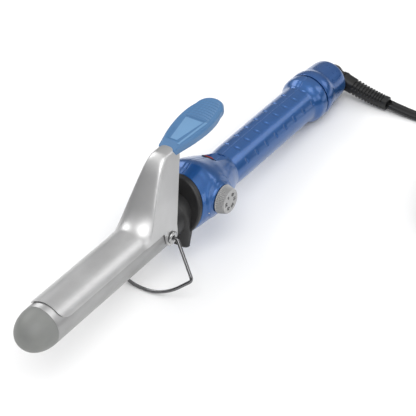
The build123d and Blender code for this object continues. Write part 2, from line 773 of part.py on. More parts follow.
def cord_tail():
    """The last run of the cord, from inside the hank's top layer up to the plug."""
    y = HANK_Y + HANK_R
    end = plug_place().from_local_coords(Vector(0, 0, -PLUG_LENGTH / 2 - PLUG_RELIEF))
    points = [
        (HANK_X - HANK_RUN / 2 - 8.0, y, HANK_TOP - 4.0),
        (HANK_X - HANK_RUN / 2 + 1.0, y, HANK_TOP - 2.4),
        (end.X - 6.0, y, end.Z - 0.8),
        tuple(end),
    ]
    return bent_tube(points, CORD_WIDTH / 2, corner_radii(points))


def cord_coil():
    """The outer shape of the hank, with the two free runs that leave it."""
    half_width = CORD_WIDTH / 2
    hank = hank_slab(HANK_R + half_width, HANK_BASE, HANK_TOP) - hank_slab(
        HANK_R - half_width, HANK_BASE - 1, HANK_TOP + 1
    )
    start = Vector(*CORD_ROUTE[-1])
    way = (start - Vector(*CORD_ROUTE[-2])).normalized()
    lead_in = rod(start, start + way * 30, half_width)
    return hank + lead_in + cord_tail()


def cord_tie():
    """A hook-and-loop band round the run of the hank that has no plug on it."""
    height = HANK_TOP - HANK_BASE
    middle = Pos(HANK_X, HANK_Y - HANK_R, (HANK_TOP + HANK_BASE) / 2)
    outer = Box(TIE_WIDTH, CORD_WIDTH + 2 * TIE_THICK, height + 2 * TIE_THICK)
    outer = fillet(outer.edges().filter_by(Axis.X), TIE_THICK)
    return middle * (outer - Box(TIE_WIDTH + 1, CORD_WIDTH, height))


def blade(side):
    """A flat blade with a hole near its end; one is wider so that the plug goes in one way."""
    width = BLADE_WIDTHS[0 if side < 0 else 1]
    root = 10.0
    sheet = Box(width, BLADE_THICK, BLADE_LENGTH + root)
    hole = Pos(0, 0, (BLADE_LENGTH + root) / 2 - 3.2) * Cylinder(1.6, 5, rotation=(90, 0, 0))
    middle = PLUG_LENGTH / 2 + (BLADE_LENGTH - root) / 2
    return plug_place() * Pos(0, side * BLADE_GAP / 2, middle) * (sheet - hole)


def power_plug():
    """A moulded plug with its own short strain relief, holding the blades."""
    body = Box(PLUG_THICK, PLUG_WIDTH, PLUG_LENGTH)
    body = fillet(body.edges().filter_by(Axis.Z), 4.0)
    body = fillet(body.edges().group_by(Axis.Z)[0], 2.5)
    relief = loft([
        (Pos(0, 0, -PLUG_LENGTH / 2 - PLUG_RELIEF) * Circle(CORD_WIDTH / 2 + 0.5)).faces()[0],
        (Pos(0, 0, -PLUG_LENGTH / 2 + 3) * Circle(5.6)).faces()[0],
    ])
    return plug_place() * (body + relief) - blade(1) - blade(-1)


PARTS = {
    "barrel_tube": barrel_tube(),
    "tip_cap": tip_cap(),
    "heat_spreader_upper": heat_spreader(1),
    "heat_spreader_lower": heat_spreader(-1),
    "ptc_heater": ptc_heater(),
    "heater_leads": group(heater_lead(1), heater_lead(-1)),
    "thermal_fuse": thermal_fuse(),
    "temperature_sensor": temperature_sensor(),
    "barrel_insulator": barrel_insulator(),
    "pivot_ring": pivot_ring(),
    "pivot_eyelets": group(pivot_eyelet(1), pivot_eyelet(-1)),
    "clamp_lever": clamp_lever(),
    "thumb_paddle": thumb_paddle(),
    "paddle_rivets": group(*[paddle_rivet(x) for x in RIVET_X]),
    "clamp_spring": clamp_spring(),
    "stand_wire": stand_wire(),
    "heat_shield": heat_shield(),
    "housing_left": housing_half(1),
    "housing_right": housing_half(-1),
    "housing_screws": group(*[housing_screw(x) for x in BOSS_X]),
    "end_cap": end_cap(),
    "cord_swivel": cord_swivel(),
    "swivel_contacts": group(swivel_contact(140), swivel_contact(145)),
    "mains_leads": group(mains_lead(1), mains_lead(-1)),
    "control_board": control_board(),
    "board_components": board_components(),
    "potentiometer": potentiometer(),
    "dial_shaft": dial_shaft(),
    "temperature_dial": temperature_dial(),
    "switch_body": switch_body(),
    "switch_rocker": switch_rocker(),
    "strain_relief": strain_relief(),
}

for name, shape in PARTS.items():
    export_step(at_rest(shape), f"parts/{name}.step")

CORD_PARTS = {
    "power_cord": power_cord(),
    "cord_coil": cord_coil(),
    "cord_tie": cord_tie(),
    "power_plug": power_plug(),
    "plug_blades": group(blade(1), blade(-1)),
}

for name, shape in CORD_PARTS.items():
    export_step(shape, f"parts/{name}.step")
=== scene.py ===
"""The looks of a spring-clamp curling iron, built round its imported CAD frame.

Lengths are metres. Pieces of the iron are drawn in the iron's own frame, where X runs along the
barrel from the tip towards the cord and Z points to the side of the clamp, and REST then tips
them into the resting pose. Cord pieces are drawn where they lie.
"""

import math

import bmesh
import bpy
from mathutils import Matrix, Vector


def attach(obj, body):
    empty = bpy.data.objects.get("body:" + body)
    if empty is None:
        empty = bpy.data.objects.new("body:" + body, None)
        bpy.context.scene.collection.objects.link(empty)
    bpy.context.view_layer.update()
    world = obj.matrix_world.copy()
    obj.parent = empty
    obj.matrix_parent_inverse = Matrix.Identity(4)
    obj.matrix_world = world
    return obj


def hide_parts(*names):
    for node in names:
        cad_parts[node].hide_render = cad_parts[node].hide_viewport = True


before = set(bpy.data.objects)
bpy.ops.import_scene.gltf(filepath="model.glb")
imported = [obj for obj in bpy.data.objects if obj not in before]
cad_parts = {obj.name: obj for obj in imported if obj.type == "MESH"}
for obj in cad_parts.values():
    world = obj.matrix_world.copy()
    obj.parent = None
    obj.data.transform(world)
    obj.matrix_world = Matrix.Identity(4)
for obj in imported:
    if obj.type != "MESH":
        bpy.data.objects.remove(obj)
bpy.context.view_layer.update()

MM = 0.001
TILT = math.radians(5.914425)
LIFT = 30.502138
CENTRE_X = 3.244239
REST = (
    Matrix.Translation((-CENTRE_X * MM, 0, LIFT * MM))
    @ Matrix.Rotation(TILT, 4, "Y")
    @ Matrix.Scale(MM, 4)
)
WORLD = Matrix.Scale(MM, 4)

# ---------- sizes shared with the CAD, in mm
BARREL_R = 12.7
BARREL_FRONT, BARREL_REAR = -152.0, -11.0
TIP_END = -169.5
CLAMP_OUT_R, CLAMP_SHEET, CLAMP_CORNER = 13.8, 0.8, 7.5
CLAMP_FRONT, CLAMP_REAR = -148.0, -23.7
JAW_ANGLE = 65.0
FOOT_X, RISE, LEAN = -64.5, math.radians(57.5), math.radians(10.0)
LEVER_TOP_Z = 50.2
PIVOT_X = -45.0
WIRE_R = 1.05
STAND_ANGLE, STAND_REACH = math.radians(70.0), 37.9
RIM_X, RIM_SLOPE, RIM_R, RIM_Z, RIM_HALF_HEIGHT = -21.5, 0.33, 18.6, 4.1, 19.4
NECK_X, NECK_R = 28.9, 12.75
COLLAR_R = 16.1
DIAL_X, DIAL_Z, DIAL_R = -2.4, 5.7, 9.4
DIAL_BACK_Y, DIAL_FACE_Y = -21.4, -27.4
CREST_X, CREST_Z = 13.0, 19.0
NOTCH_Z, NOTCH_HALF = 12.0, 5.4
SWITCH_X, SWITCH_Z, SWITCH_SLOPE = 16.6, 15.4, math.radians(45.0)
SWIVEL_X, SWIVEL_BALL_R, RELIEF_START = 169.0, 7.2, 8.5
CORD_WIDTH, CORD_THICK = 7.6, 4.0
PADDLE_SLOPE = math.radians(5.6)


# ---------- small helpers
def smoothstep(low, high, x):
    t = min(max((x - low) / (high - low), 0.0), 1.0)
    return t * t * (3 - 2 * t)


def mix(a, b, t):
    return a + (b - a) * t


def spread(start, end, steps):
    """Evenly spread values from start to end, both included."""
    return [mix(start, end, i / steps) for i in range(steps + 1)]


def around(count):
    """The directions of a full turn, each as its cosine and sine."""
    turn = (2 * math.pi * j / count for j in range(count))
    return [(math.cos(a), math.sin(a)) for a in turn]


def squared(c, power):
    """A cosine or sine pushed outwards, so that a circle becomes a rounded square."""
    return math.copysign(abs(c) ** (2 / power), c)


def soft_low(a, b, reach):
    """The lower of two values, blended where they are close."""
    t = max(reach - abs(a - b), 0.0) / reach
    return min(a, b) - t * t * reach / 4


def soft_high(a, b, reach):
    """The higher of two values, blended where they are close."""
    return -soft_low(-a, -b, reach)


def through(points, x):
    """A smooth curve through (x, value) points, read at x."""
    if x <= points[0][0]:
        return points[0][1]
    if x >= points[-1][0]:
        return points[-1][1]
    for i in range(len(points) - 1):
        if points[i][0] <= x <= points[i + 1][0]:
            break
    x0, y0 = points[i]
    x1, y1 = points[i + 1]
    before = points[i - 1] if i else (x0, y0)
    after = points[i + 2] if i + 2 < len(points) else (x1, y1)
    width = x1 - x0
    slope0 = (y1 - before[1]) / (x1 - before[0]) * width
    slope1 = (after[1] - y0) / (after[0] - x0) * width
    t = (x - x0) / width
    t2, t3 = t * t, t * t * t
    return (
        (2 * t3 - 3 * t2 + 1) * y0
        + (t3 - 2 * t2 + t) * slope0
        + (3 * t2 - 2 * t3) * y1
        + (t3 - t2) * slope1
    )


def row_at(rows, x):
    """The columns of a table of rows that start with x, each read smoothly at x."""
    return [through([(row[0], row[k]) for row in rows], x) for k in range(1, len(rows[0]))]


def placed(name, data):
    """A new object in the scene that holds this data."""
    obj = bpy.data.objects.new(name, data)
    bpy.context.collection.objects.link(obj)
    return obj


def curve_mesh(curve):
    """The mesh that a curve or a text makes."""
    holder = placed("holder", curve)
    mesh = bpy.data.meshes.new_from_object(holder)
    bpy.data.objects.remove(holder)
    return mesh


def mesh_object(name, verts, faces, place=REST):
    """A smooth-shaded mesh from points, which place carries into the shared frame."""
    mesh = bpy.data.meshes.new(name)
    mesh.from_pydata([place @ Vector(v) for v in verts], [], faces)
    mesh.validate()
    bm = bmesh.new()
    bm.from_mesh(mesh)
    bmesh.ops.remove_doubles(bm, verts=bm.verts, dist=1e-6)
    bmesh.ops.recalc_face_normals(bm, faces=bm.faces)
    bm.to_mesh(mesh)
    bm.free()
    for polygon in mesh.polygons:
        polygon.use_smooth = True
    return placed(name, mesh)


def lofted(name, rings, place=REST, close_start=True, close_end=True, loop=True):
    """A skin over rings of points that all have the same count."""
    count = len(rings[0])
    verts = [point for ring in rings for point in ring]
    faces = []
    for i in range(len(rings) - 1):
        for j in range(count if loop else count - 1):
            k = (j + 1) % count
            faces.append((i * count + j, i * count + k, (i + 1) * count + k, (i + 1) * count + j))
    if close_start:
        faces.append(tuple(range(count))[::-1])
    if close_end:
        last = (len(rings) - 1) * count
        faces.append(tuple(range(last, last + count)))
    return mesh_object(name, verts, faces, place)


def open_skin(name, rings):
    """A skin over rings that are open lines, with open ends."""
    return lofted(name, rings, close_start=False, close_end=False, loop=False)


def turned(name, outline, place=REST, count=96, closed=False):
    """A solid turned about X from (x, radius) points; a radius of 0 ends in a point."""
    rings = [[(x, r * c, r * d) for c, d in around(count)] for x, r in outline]
    if closed:
        rings.append(rings[0])
    return lofted(name, rings, place, close_start=not closed, close_end=not closed)


def rounded(points, radius, steps):
    """An open (x, r) outline with every corner between its two ends rounded."""
    out = [points[0]]
    for before, corner, after in zip(points, points[1:], points[2:]):
        a = Vector(before) - Vector(corner)
        b = Vector(after) - Vector(corner)
        size = min(radius, a.length * 0.45, b.length * 0.45)
        p, q = Vector(corner) + a.normalized() * size, Vector(corner) + b.normalized() * size
        for t in spread(0, 1, steps):
            point = p * (1 - t) ** 2 + Vector(corner) * 2 * t * (1 - t) + q * t * t
            out.append((point.x, point.y))
    out.append(points[-1])
    return out


def sharp_by_angle(obj, degrees):
    """Keeps edges steeper than an angle sharp in the shading."""
    mesh = obj.data
    bm = bmesh.new()
    bm.from_mesh(mesh)
    limit = math.radians(degrees)
    for edge in bm.edges:
        if len(edge.link_faces) == 2 and edge.calc_face_angle() > limit:
            edge.smooth = False
    bm.to_mesh(mesh)
    bm.free()


def circle_profile(radius, count):
    return [(radius * c, radius * d) for c, d in around(count)]


def sweep_rings(points, profile, up=None):
    """Rings of a profile carried along a line without twisting, or kept level with up."""
    line = [Vector(p) for p in points]
    rings = []
    side = None
    for i, point in enumerate(line):
        ahead = line[min(i + 1, len(line) - 1)]
        behind = line[max(i - 1, 0)]
        way = (ahead - behind).normalized()
        if up is not None:
            side = way.cross(Vector(up)).normalized()
        elif side is None:
            side = way.orthogonal().normalized()
        else:
            side = (side - way * side.dot(way)).normalized()
        other = side.cross(way)
        rings.append([tuple(point + side * u + other * v) for u, v in profile(i)])
    return rings


# ---------- camera
def make_camera():
    """A long lens, looking down on the iron from beyond its tip on the dial's side."""
    sensor, focal_ratio = 36.0, 1612.18 / 416
    azimuth, elevation, roll = math.radians(53.85), math.radians(40.538), math.radians(4.285)
    forward = Vector((
        math.sin(azimuth) * math.cos(elevation),
        math.cos(azimuth) * math.cos(elevation),
        -math.sin(elevation),
    ))
    right = forward.cross(Vector((0, 0, 1))).normalized()
    level = right.cross(forward)
    up = level * math.cos(roll) + right * math.sin(roll)
    side = forward.cross(up)
    place = Matrix((side, up, -forward)).transposed().to_4x4()
    place.translation = (-0.6107, -0.45247, 0.66559)
    data = bpy.data.cameras.new("camera")
    data.sensor_width = sensor
    data.lens = sensor * focal_ratio
    data.clip_start, data.clip_end = 0.05, 20.0
    camera = placed("camera", data)
    camera.matrix_world = place
    bpy.context.scene.camera = camera


make_camera()


# ---------- materials
class Nodes:
    """A short way to write a material's nodes."""

    def __init__(self, name):
        self.material = bpy.data.materials.new(name)
        self.material.use_nodes = True
        self.tree = self.material.node_tree
        self.tree.nodes.clear()
        self.shader = self.add("ShaderNodeBsdfPrincipled")
        out = self.add("ShaderNodeOutputMaterial")
        self.link(self.shader.outputs[0], out.inputs["Surface"])
        self.coords = self.add("ShaderNodeTexCoord").outputs["Object"]

    def add(self, kind, inputs=None, **values):
        """A new node, with the values of some of its inputs and of its settings."""
        node = self.tree.nodes.new(kind)
        for key, value in (inputs or {}).items():
            node.inputs[key].default_value = value
        for key, value in values.items():
            setattr(node, key, value)
        return node

    def link(self, a, b):
        self.tree.links.new(a, b)

    def set(self, **values):
        for key, value in values.items():
            self.shader.inputs[key.replace("_", " ")].default_value = value

    def mapped(self, scale):
        """The object's own coordinates, stretched."""
        node = self.add("ShaderNodeMapping", {"Scale": scale})
        self.link(self.coords, node.inputs["Vector"])
        return node.outputs[0]

    def noise(self, scale, detail, vector=None):
        values = {"Scale": scale, "Detail": detail, "Roughness": 0.55}
        node = self.add("ShaderNodeTexNoise", values)
        self.link(vector or self.coords, node.inputs["Vector"])
        return node.outputs[0]

    def ramp(self, factor, low, high, start=0.3, end=0.7):
        """Two colours, or two greys, blended by a factor."""
        node = self.add("ShaderNodeValToRGB")
        node.color_ramp.elements[0].position = start
        node.color_ramp.elements[1].position = end
        for element, value in zip(node.color_ramp.elements, (low, high)):
            element.color = (*value, 1)
        self.link(factor, node.inputs[0])
        return node.outputs[0]

    def grey(self, factor, low, high):
        return self.ramp(factor, (low,) * 3, (high,) * 3)

    def maths(self, operation, a, b):
        node = self.add("ShaderNodeMath", operation=operation)
        self.link(a, node.inputs[0])
        self.link(b, node.inputs[1])
        return node.outputs[0]

    def bump(self, height, strength, distance):
        node = self.add("ShaderNodeBump", {"Strength": strength, "Distance": distance})
        self.link(height, node.inputs["Height"])
        self.link(node.outputs[0], self.shader.inputs["Normal"])

    def colour(self, socket):
        self.link(socket, self.shader.inputs["Base Color"])

    def rough(self, socket):
        self.link(socket, self.shader.inputs["Roughness"])


def brushed_metal(name, low, high):
    """Satin plated metal with fine grinding lines along X and faint smudges."""
    n = Nodes(name)
    n.set(Metallic=1.0)
    lines = n.noise(1.0, 3, n.mapped((300, 4000, 4000)))
    smudge = n.noise(45, 4)
    n.colour(n.ramp(smudge, low, high))
    n.rough(n.maths("ADD", n.grey(lines, 0.32, 0.44), n.grey(smudge, -0.03, 0.05)))
    n.bump(lines, 0.02, 0.0002)
    return n.material


def pearl_plastic(name, deep, light, roughness=0.31):
    """Glossy pearlescent plastic: a clear coat and a pale sheen over fine metallic flakes."""
    n = Nodes(name)
    n.set(Metallic=0.5, Coat_Weight=0.55, Coat_Roughness=0.12, Sheen_Weight=0.15, Sheen_Roughness=0.4)
    n.set(Sheen_Tint=(*light, 1))
    flakes = n.add("ShaderNodeTexVoronoi", {"Scale": 2600})
    n.link(n.coords, flakes.inputs["Vector"])
    base = n.ramp(n.noise(60, 3), deep, tuple(c * 1.12 for c in deep))
    sparkle = n.add("ShaderNodeMixRGB", {0: 0.07}, blend_type="OVERLAY")
    n.link(base, sparkle.inputs[1])
    n.link(flakes.outputs["Color"], sparkle.inputs[2])
    n.colour(sparkle.outputs[0])
    n.rough(n.grey(n.noise(200, 3), roughness - 0.03, roughness + 0.05))
    n.bump(n.noise(900, 2), 0.015, 0.0001)
    return n.material


def moulded(name, low, high, rough_low=0.4, rough_high=0.55, scale=1500, bump=0.12, coat=0.0):
    """Moulded plastic or rubber with a fine spark-eroded grain and slight wear."""
    n = Nodes(name)
    n.set(Coat_Weight=coat, Coat_Roughness=0.2, Specular_IOR_Level=0.45)
    n.colour(n.ramp(n.noise(70, 5), low, high))
    n.rough(n.grey(n.noise(160, 4), rough_low, rough_high))
    n.bump(n.noise(scale, 3), bump, 0.0001)
    return n.material


def plain_metal(name, colour, roughness):
    """Bright plated metal with faint scratches."""
    n = Nodes(name)
    n.set(Metallic=1.0)
    n.colour(n.ramp(n.noise(120, 4), tuple(c * 0.93 for c in colour), colour))
    scratches = n.noise(900, 2, n.mapped((1, 6, 1)))
    n.rough(n.grey(scratches, roughness, roughness + 0.08))
    n.bump(scratches, 0.01, 0.0001)
    return n.material


def laminate(name):
    """Green circuit board with copper tracks under the lacquer."""
    n = Nodes(name)
    green, darker_green, copper = (0.03, 0.17, 0.06, 1), (0.03, 0.15, 0.05, 1), (0.07, 0.26, 0.10, 1)
    values = {"Scale": 260, "Color1": green, "Color2": darker_green, "Mortar": copper}
    tracks = n.add("ShaderNodeTexBrick", values)
    n.link(n.coords, tracks.inputs["Vector"])
    n.colour(tracks.outputs[0])
    n.set(Roughness=0.3, Coat_Weight=0.4)
    return n.material


def woven(name, colour):
    """Coarse black hook-and-loop webbing."""
    n = Nodes(name)
    waves = n.add("ShaderNodeTexWave", {"Scale": 900, "Distortion": 1.5})
    n.link(n.coords, waves.inputs["Vector"])
    fuzz = n.maths("MULTIPLY", waves.outputs["Fac"], n.noise(2500, 4))
    n.colour(n.ramp(fuzz, colour, tuple(c * 2.4 for c in colour), 0.1, 0.6))
    n.set(Roughness=0.95, Sheen_Weight=0.5)
    n.bump(fuzz, 0.5, 0.0004)
    return n.material


STEEL = brushed_metal("clamp_metal", (0.50, 0.50, 0.50), (0.58, 0.58, 0.58))
BARREL = brushed_metal("barrel_metal", (0.34, 0.34, 0.34), (0.40, 0.40, 0.40))
CHROME = plain_metal("wire_chrome", (0.17, 0.17, 0.175), 0.08)
RIVET = plain_metal("rivet_plating", (0.46, 0.46, 0.46), 0.12)
INNER_STEEL = plain_metal("inner_steel", (0.55, 0.55, 0.55), 0.3)
ALUMINIUM = plain_metal("extruded_aluminium", (0.66, 0.66, 0.67), 0.35)
BRASS = plain_metal("brass", (0.80, 0.62, 0.30), 0.2)
BLADE_METAL = plain_metal("blade_plating", (0.80, 0.74, 0.58), 0.16)
BLUE = pearl_plastic("pearl_blue", (0.015, 0.085, 0.27), (0.16, 0.36, 0.66))
CAP_BLUE = pearl_plastic("pearl_blue_cap", (0.013, 0.075, 0.25), (0.15, 0.34, 0.62), 0.28)
PADDLE_BLUE = moulded(
    "paddle_blue", (0.050, 0.145, 0.30), (0.060, 0.165, 0.33), 0.36, 0.46, 900, 0.04, 0.2
)
# A paler blue of the paddle's own plastic, used only to paint light and a highlight onto the paddle's
# top.
PAINTED_LIGHT_BLUE = moulded(
    "painted_light_blue", (0.115, 0.25, 0.44), (0.135, 0.28, 0.47), 0.30, 0.40, 900, 0.03, 0.3
)
TIP_GREY = moulded("tip_grey", (0.175, 0.18, 0.175), (0.205, 0.21, 0.20), 0.42, 0.52, 1800, 0.06)
SHIELD_BLACK = moulded("shield_black", (0.010, 0.010, 0.011), (0.018, 0.018, 0.018), 0.38, 0.5)
GLOSS_BLACK = moulded("gloss_black", (0.008, 0.008, 0.009), (0.014, 0.014, 0.015), 0.2, 0.3, 700, 0.03)
DIAL_GREY = moulded("dial_grey", (0.33, 0.33, 0.33), (0.40, 0.40, 0.40), 0.34, 0.46, 1500, 0.06, 0.1)
DIAL_INK = moulded("dial_ink", (0.012, 0.012, 0.014), (0.02, 0.02, 0.022), 0.5, 0.6)
RED = moulded("rocker_red", (0.30, 0.010, 0.010), (0.36, 0.014, 0.012), 0.2, 0.3, 900, 0.02, 0.5)
CORD_BLACK = moulded("cord_black", (0.004, 0.004, 0.0045), (0.008, 0.008, 0.0085), 0.34, 0.46, 1400, 0.06)
CERAMIC = moulded("heater_film", (0.62, 0.52, 0.30), (0.72, 0.62, 0.38), 0.3, 0.5)
PHENOLIC = moulded("phenolic", (0.10, 0.05, 0.03), (0.16, 0.08, 0.05), 0.5, 0.7)
SLEEVING = woven("glass_sleeving", (0.30, 0.29, 0.27))
CASE_BLACK = moulded("component_case", (0.02, 0.02, 0.022), (0.04, 0.04, 0.042), 0.4, 0.6)
BOARD = laminate("board_laminate")
WEBBING = woven("tie_webbing", (0.012, 0.012, 0.013))


def finish(obj, material, body, slot, *nodes, sharp=None):
    """Gives a piece its material and its body, and hides the CAD nodes it stands for; slot is not used.
    """
    if sharp:
        sharp_by_angle(obj, sharp)
    obj.data.materials.clear()
    obj.data.materials.append(material)
    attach(obj, body)
    if nodes:
        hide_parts(*nodes)
    return obj


# ---------- cord, drawn where it lies
CORD_ROUTE = [
    (163.6, -43.4, 4.9),
    (163.4, -60.0, 2.5),
    (164.2, -79.0, 2.05),
    (163.9, -98.0, 2.3),
    (163.9, -116.0, 2.9),
]
HANK_R, HANK_RUN = 24.0, 58.0
HANK_X, HANK_Y = CORD_ROUTE[-1][0] - HANK_R - HANK_RUN / 2, -147.0
HANK_BASE, HANK_TOP = 1.1, 27.7
HANK_TURNS = 5
HANK_TURN = 2 * math.pi * HANK_R + 2 * HANK_RUN
TIE_WIDTH = 18.0
PLUG_LENGTH, PLUG_THICK, PLUG_RELIEF = 28.0, 14.0, 15.0
PLUG_TAIL_X = HANK_X - 13.0
PLUG_WAY = Vector((1, 0, 0))
PLUG_MIDDLE = Vector((
    PLUG_TAIL_X + PLUG_RELIEF + PLUG_LENGTH / 2,
    HANK_Y + HANK_R,
    HANK_TOP + PLUG_THICK / 2,
))


def hank_point(way):
    """A point of the hank's middle line, way millimetres on from its right-hand end."""
    half_circle = math.pi * HANK_R
    z = HANK_BASE + CORD_THICK / 2 + CORD_THICK * way / HANK_TURN
    way = (way + half_circle / 2) % HANK_TURN
    side = 1
    if way >= HANK_TURN / 2:
        way, side = way - HANK_TURN / 2, -1
    if way < half_circle:
        a = math.pi / 2 - way / HANK_R
        x, y = HANK_RUN / 2 + HANK_R * math.cos(a), HANK_R * math.sin(a)
    else:
        x, y = HANK_RUN / 2 - (way - half_circle), -HANK_R
    return Vector((HANK_X + side * x, HANK_Y + side * y, z))


def hank_points():
    """The turns of the hank, each a layer higher, from its right-hand end to its upper run."""
    past_upper_run = 2
    total = HANK_TURNS * HANK_TURN + 1.5 * math.pi * HANK_R + HANK_RUN + past_upper_run
    steps = HANK_TURNS * 28 + 18
    return [hank_point(total * i / steps) for i in range(1, steps + 1)]


def cord_tail():
    """From the hank's top layer up and into the plug's own strain relief."""
    y = HANK_Y + HANK_R
    end = PLUG_MIDDLE - PLUG_WAY * (PLUG_LENGTH / 2 + PLUG_RELIEF)
    return [
        Vector((HANK_X - HANK_RUN / 2 + 5.5, y, HANK_TOP + 0.2)),
        end - PLUG_WAY * 4 + Vector((0, 0, -1.0)),
        end,
    ]


def spline_line(points):
    """The smooth line of a NURBS spline that has these control points."""
    curve = bpy.data.curves.new("route", "CURVE")
    curve.dimensions = "3D"
    curve.resolution_u = 6
    spline = curve.splines.new("NURBS")
    spline.points.add(len(points) - 1)
    for control, point in zip(spline.points, points):
        control.co = (*(Vector(point) * MM), 1)
    spline.order_u = 3
    spline.use_endpoint_u = True
    mesh = curve_mesh(curve)
    line = [vertex.co.copy() for vertex in mesh.vertices]
    bpy.data.meshes.remove(mesh)
    return line


def twin_profile(count=10):
    """The outline of a flat twin cord: two round cores side by side in one jacket."""
    core_r = CORD_THICK / 2
    core_y = CORD_WIDTH / 2 - core_r
    waist = math.acos(core_y / core_r) if core_y < core_r else 0.0
    start, end = waist - math.pi, math.pi - waist
    right = [
        (core_y + core_r * math.cos(a), core_r * math.sin(a)) for a in spread(start, end, count)
    ]
    return right + [(-u, -v) for u, v in right]


CORD_LINE = spline_line(CORD_ROUTE + hank_points() + cord_tail())


def make_power_cord():
    profile = [(u * MM, v * MM) for u, v in twin_profile()]
    rings = sweep_rings(CORD_LINE, lambda i: profile, up=(0, 0, 1))
    cord = lofted("flex_cord", rings, Matrix.Identity(4))
    return finish(cord, CORD_BLACK, "handle", "cord_rubber", "power_cord", "cord_coil")


def make_plug():
    """A moulded two-blade plug with finger grooves and a ribbed tail."""
    outline = [            # distance along, half thickness, half width, squareness
        (-29.0, 4.1, 4.1, 2.0), (-28.6, 4.5, 4.5, 2.0), (-15.5, 5.4, 5.6, 2.0),
        (-14.0, 5.8, 6.6, 2.4), (-12.5, 6.4, 9.0, 3.0), (-9.0, 6.8, 10.4, 3.6),
        (6.0, 6.95, 10.9, 4.0), (12.6, 6.95, 10.9, 4.5), (13.7, 6.6, 10.6, 4.5),
        (14.0, 6.1, 10.1, 4.5),
    ]
    ribs_start, ribs_end, rib_pitch, rib_depth = -27.0, -16.0, 2.2, 0.55
    grip_start, grip_end, grip_pitch, grip_depth = -8.0, 5.0, 2.6, 0.35
    rings = []
    across = Vector((0, 0, 1)).cross(PLUG_WAY)
    for s in spread(outline[0][0], outline[-1][0], 116):
        thick, wide, power = row_at(outline, s)
        if ribs_start < s < ribs_end:
            rib = 0.5 - 0.5 * math.cos((s - ribs_start) * 2 * math.pi / rib_pitch)
            thick, wide = thick - rib_depth * rib, wide - rib_depth * rib
        grip = 0.0
        if grip_start < s < grip_end:
            grip = grip_depth * max(0.0, math.sin((s - grip_start) * 2 * math.pi / grip_pitch))
        ring = []
        for c, d in around(64):
            u = thick * squared(c, power)
            v = (wide - grip * abs(d)) * squared(d, power)
            ring.append(tuple(PLUG_MIDDLE + PLUG_WAY * s + Vector((0, 0, 1)) * u + across * v))
        rings.append(ring)
    plug = lofted("plug_body", rings, WORLD)
    return finish(plug, CORD_BLACK, "handle", "plug_plastic", "power_plug")


def make_tie():
    """A hook-and-loop band round one run of the hank, its end lapped over itself."""
    half_w, half_h = CORD_WIDTH / 2 + 0.1, (HANK_TOP - HANK_BASE) / 2
    middle = Vector((HANK_X, HANK_Y - HANK_R, (HANK_TOP + HANK_BASE) / 2))
    steps, lap_steps, corner_power, seam_angle, lap_lift = 96, 26, 7.0, 2.2, 0.42
    rings = []
    for i in range(steps + lap_steps):
        a = 2 * math.pi * i / steps - seam_angle
        lap = lap_lift * smoothstep(0, 5, i - steps + 5)
        u, v = squared(math.cos(a), corner_power), squared(math.sin(a), corner_power)
        ring = []
        for along, lift in ((-1, 0.02), (1, 0.02), (1, 0.4), (0.96, 0.48), (-0.96, 0.48), (-1, 0.4)):
            out = lift + lap
            y = (half_w + out) * u
            z = (half_h + min(out, 0.95)) * v
            ring.append(tuple(middle + Vector((along * TIE_WIDTH / 2, y, z))))
        rings.append(ring)
    tie = lofted("hook_loop_tie", rings, WORLD)
    return finish(tie, WEBBING, "handle", "tie_fabric", "cord_tie", sharp=50)


def make_relief():
    """A tapered sleeve: a smooth foot, eleven slots above and below, a plain end collar."""
    ball = REST @ Vector((SWIVEL_X, 0, 0)) / MM
    exit_point = Vector(CORD_ROUTE[0])
    way = (exit_point - ball).normalized()
    foot = ball + way * RELIEF_START
    exit_way, straight = Vector((-0.2, -16.6, -0.9)).normalized(), 14
    bend = exit_point - exit_way * straight
    steps, foot_r, end_r = 230, 5.6, 4.55
    line = [
        foot * (1 - t) ** 2 + bend * 2 * t * (1 - t) + exit_point * t * t
        for t in spread(0, 1, steps)
    ]
    first_slot, last_slot, slots, slot_depth = 0.20, 0.90, 11, 1.15
    pitch = (last_slot - first_slot) / slots

    def section(i):
        t = i / steps
        radius = mix(foot_r, end_r, t)
        radius += 0.35 * smoothstep(0.06, 0.0, t)
        radius -= 0.5 * smoothstep(0.985, 1.0, t)
        slot = 0.0
        if first_slot < t < last_slot:
            along = ((t - first_slot) / pitch) % 1.0
            slot = smoothstep(0.18, 0.30, along) * (1 - smoothstep(0.70, 0.82, along))
        ring = []
        for j, (c, d) in enumerate(around(72)):
            open_side = smoothstep(0.30, 0.45, abs(d))
            squareness = 0.035 * math.cos(8 * math.pi * j / 72)
            r = radius * (1 - squareness) - slot_depth * slot * open_side
            ring.append((r * c, r * d))
        return ring

    rings = sweep_rings(line, section, up=(0, 0, 1))
    relief = lofted("cord_relief", rings, WORLD)
    return finish(relief, CORD_BLACK, "handle", "cord_rubber", "strain_relief")


CORD = make_power_cord()
PLUG = make_plug()
TIE = make_tie()
RELIEF = make_relief()


# ---------- swivel and rear cap
def make_swivel():
    """The black elbow between the rear cap and the strain relief."""
    stub = [
        (150.0, 0.0), (150.0, 8.4), (152.0, 8.4), (152.0, 6.1), (165.0, 6.1), (167.0, 5.4),
        (168.0, 0.0),
    ]
    spindle = turned("swivel_spindle", stub, count=64)
    finish(spindle, GLOSS_BLACK, "handle", "black_plastic", "cord_swivel", sharp=35)
    ball = Vector((SWIVEL_X, 0, 0))
    arc = [
        (SWIVEL_X - SWIVEL_BALL_R * math.cos(a), SWIVEL_BALL_R * math.sin(a))
        for a in spread(0, math.pi, 32)
    ]
    finish(turned("swivel_ball", arc, count=72), GLOSS_BLACK, "handle", "black_plastic")
    way = (REST.inverted() @ (Vector(CORD_ROUTE[0]) * MM) - ball).normalized()
    neck_r, lip_r, lip_start = 5.5, 5.9, 20
    line = [ball + way * reach for reach in spread(0, RELIEF_START, 24)]
    rings = sweep_rings(line, lambda i: circle_profile(neck_r if i < lip_start else lip_r, 64))
    finish(lofted("swivel_neck", rings), GLOSS_BLACK, "handle", "black_plastic", sharp=35)


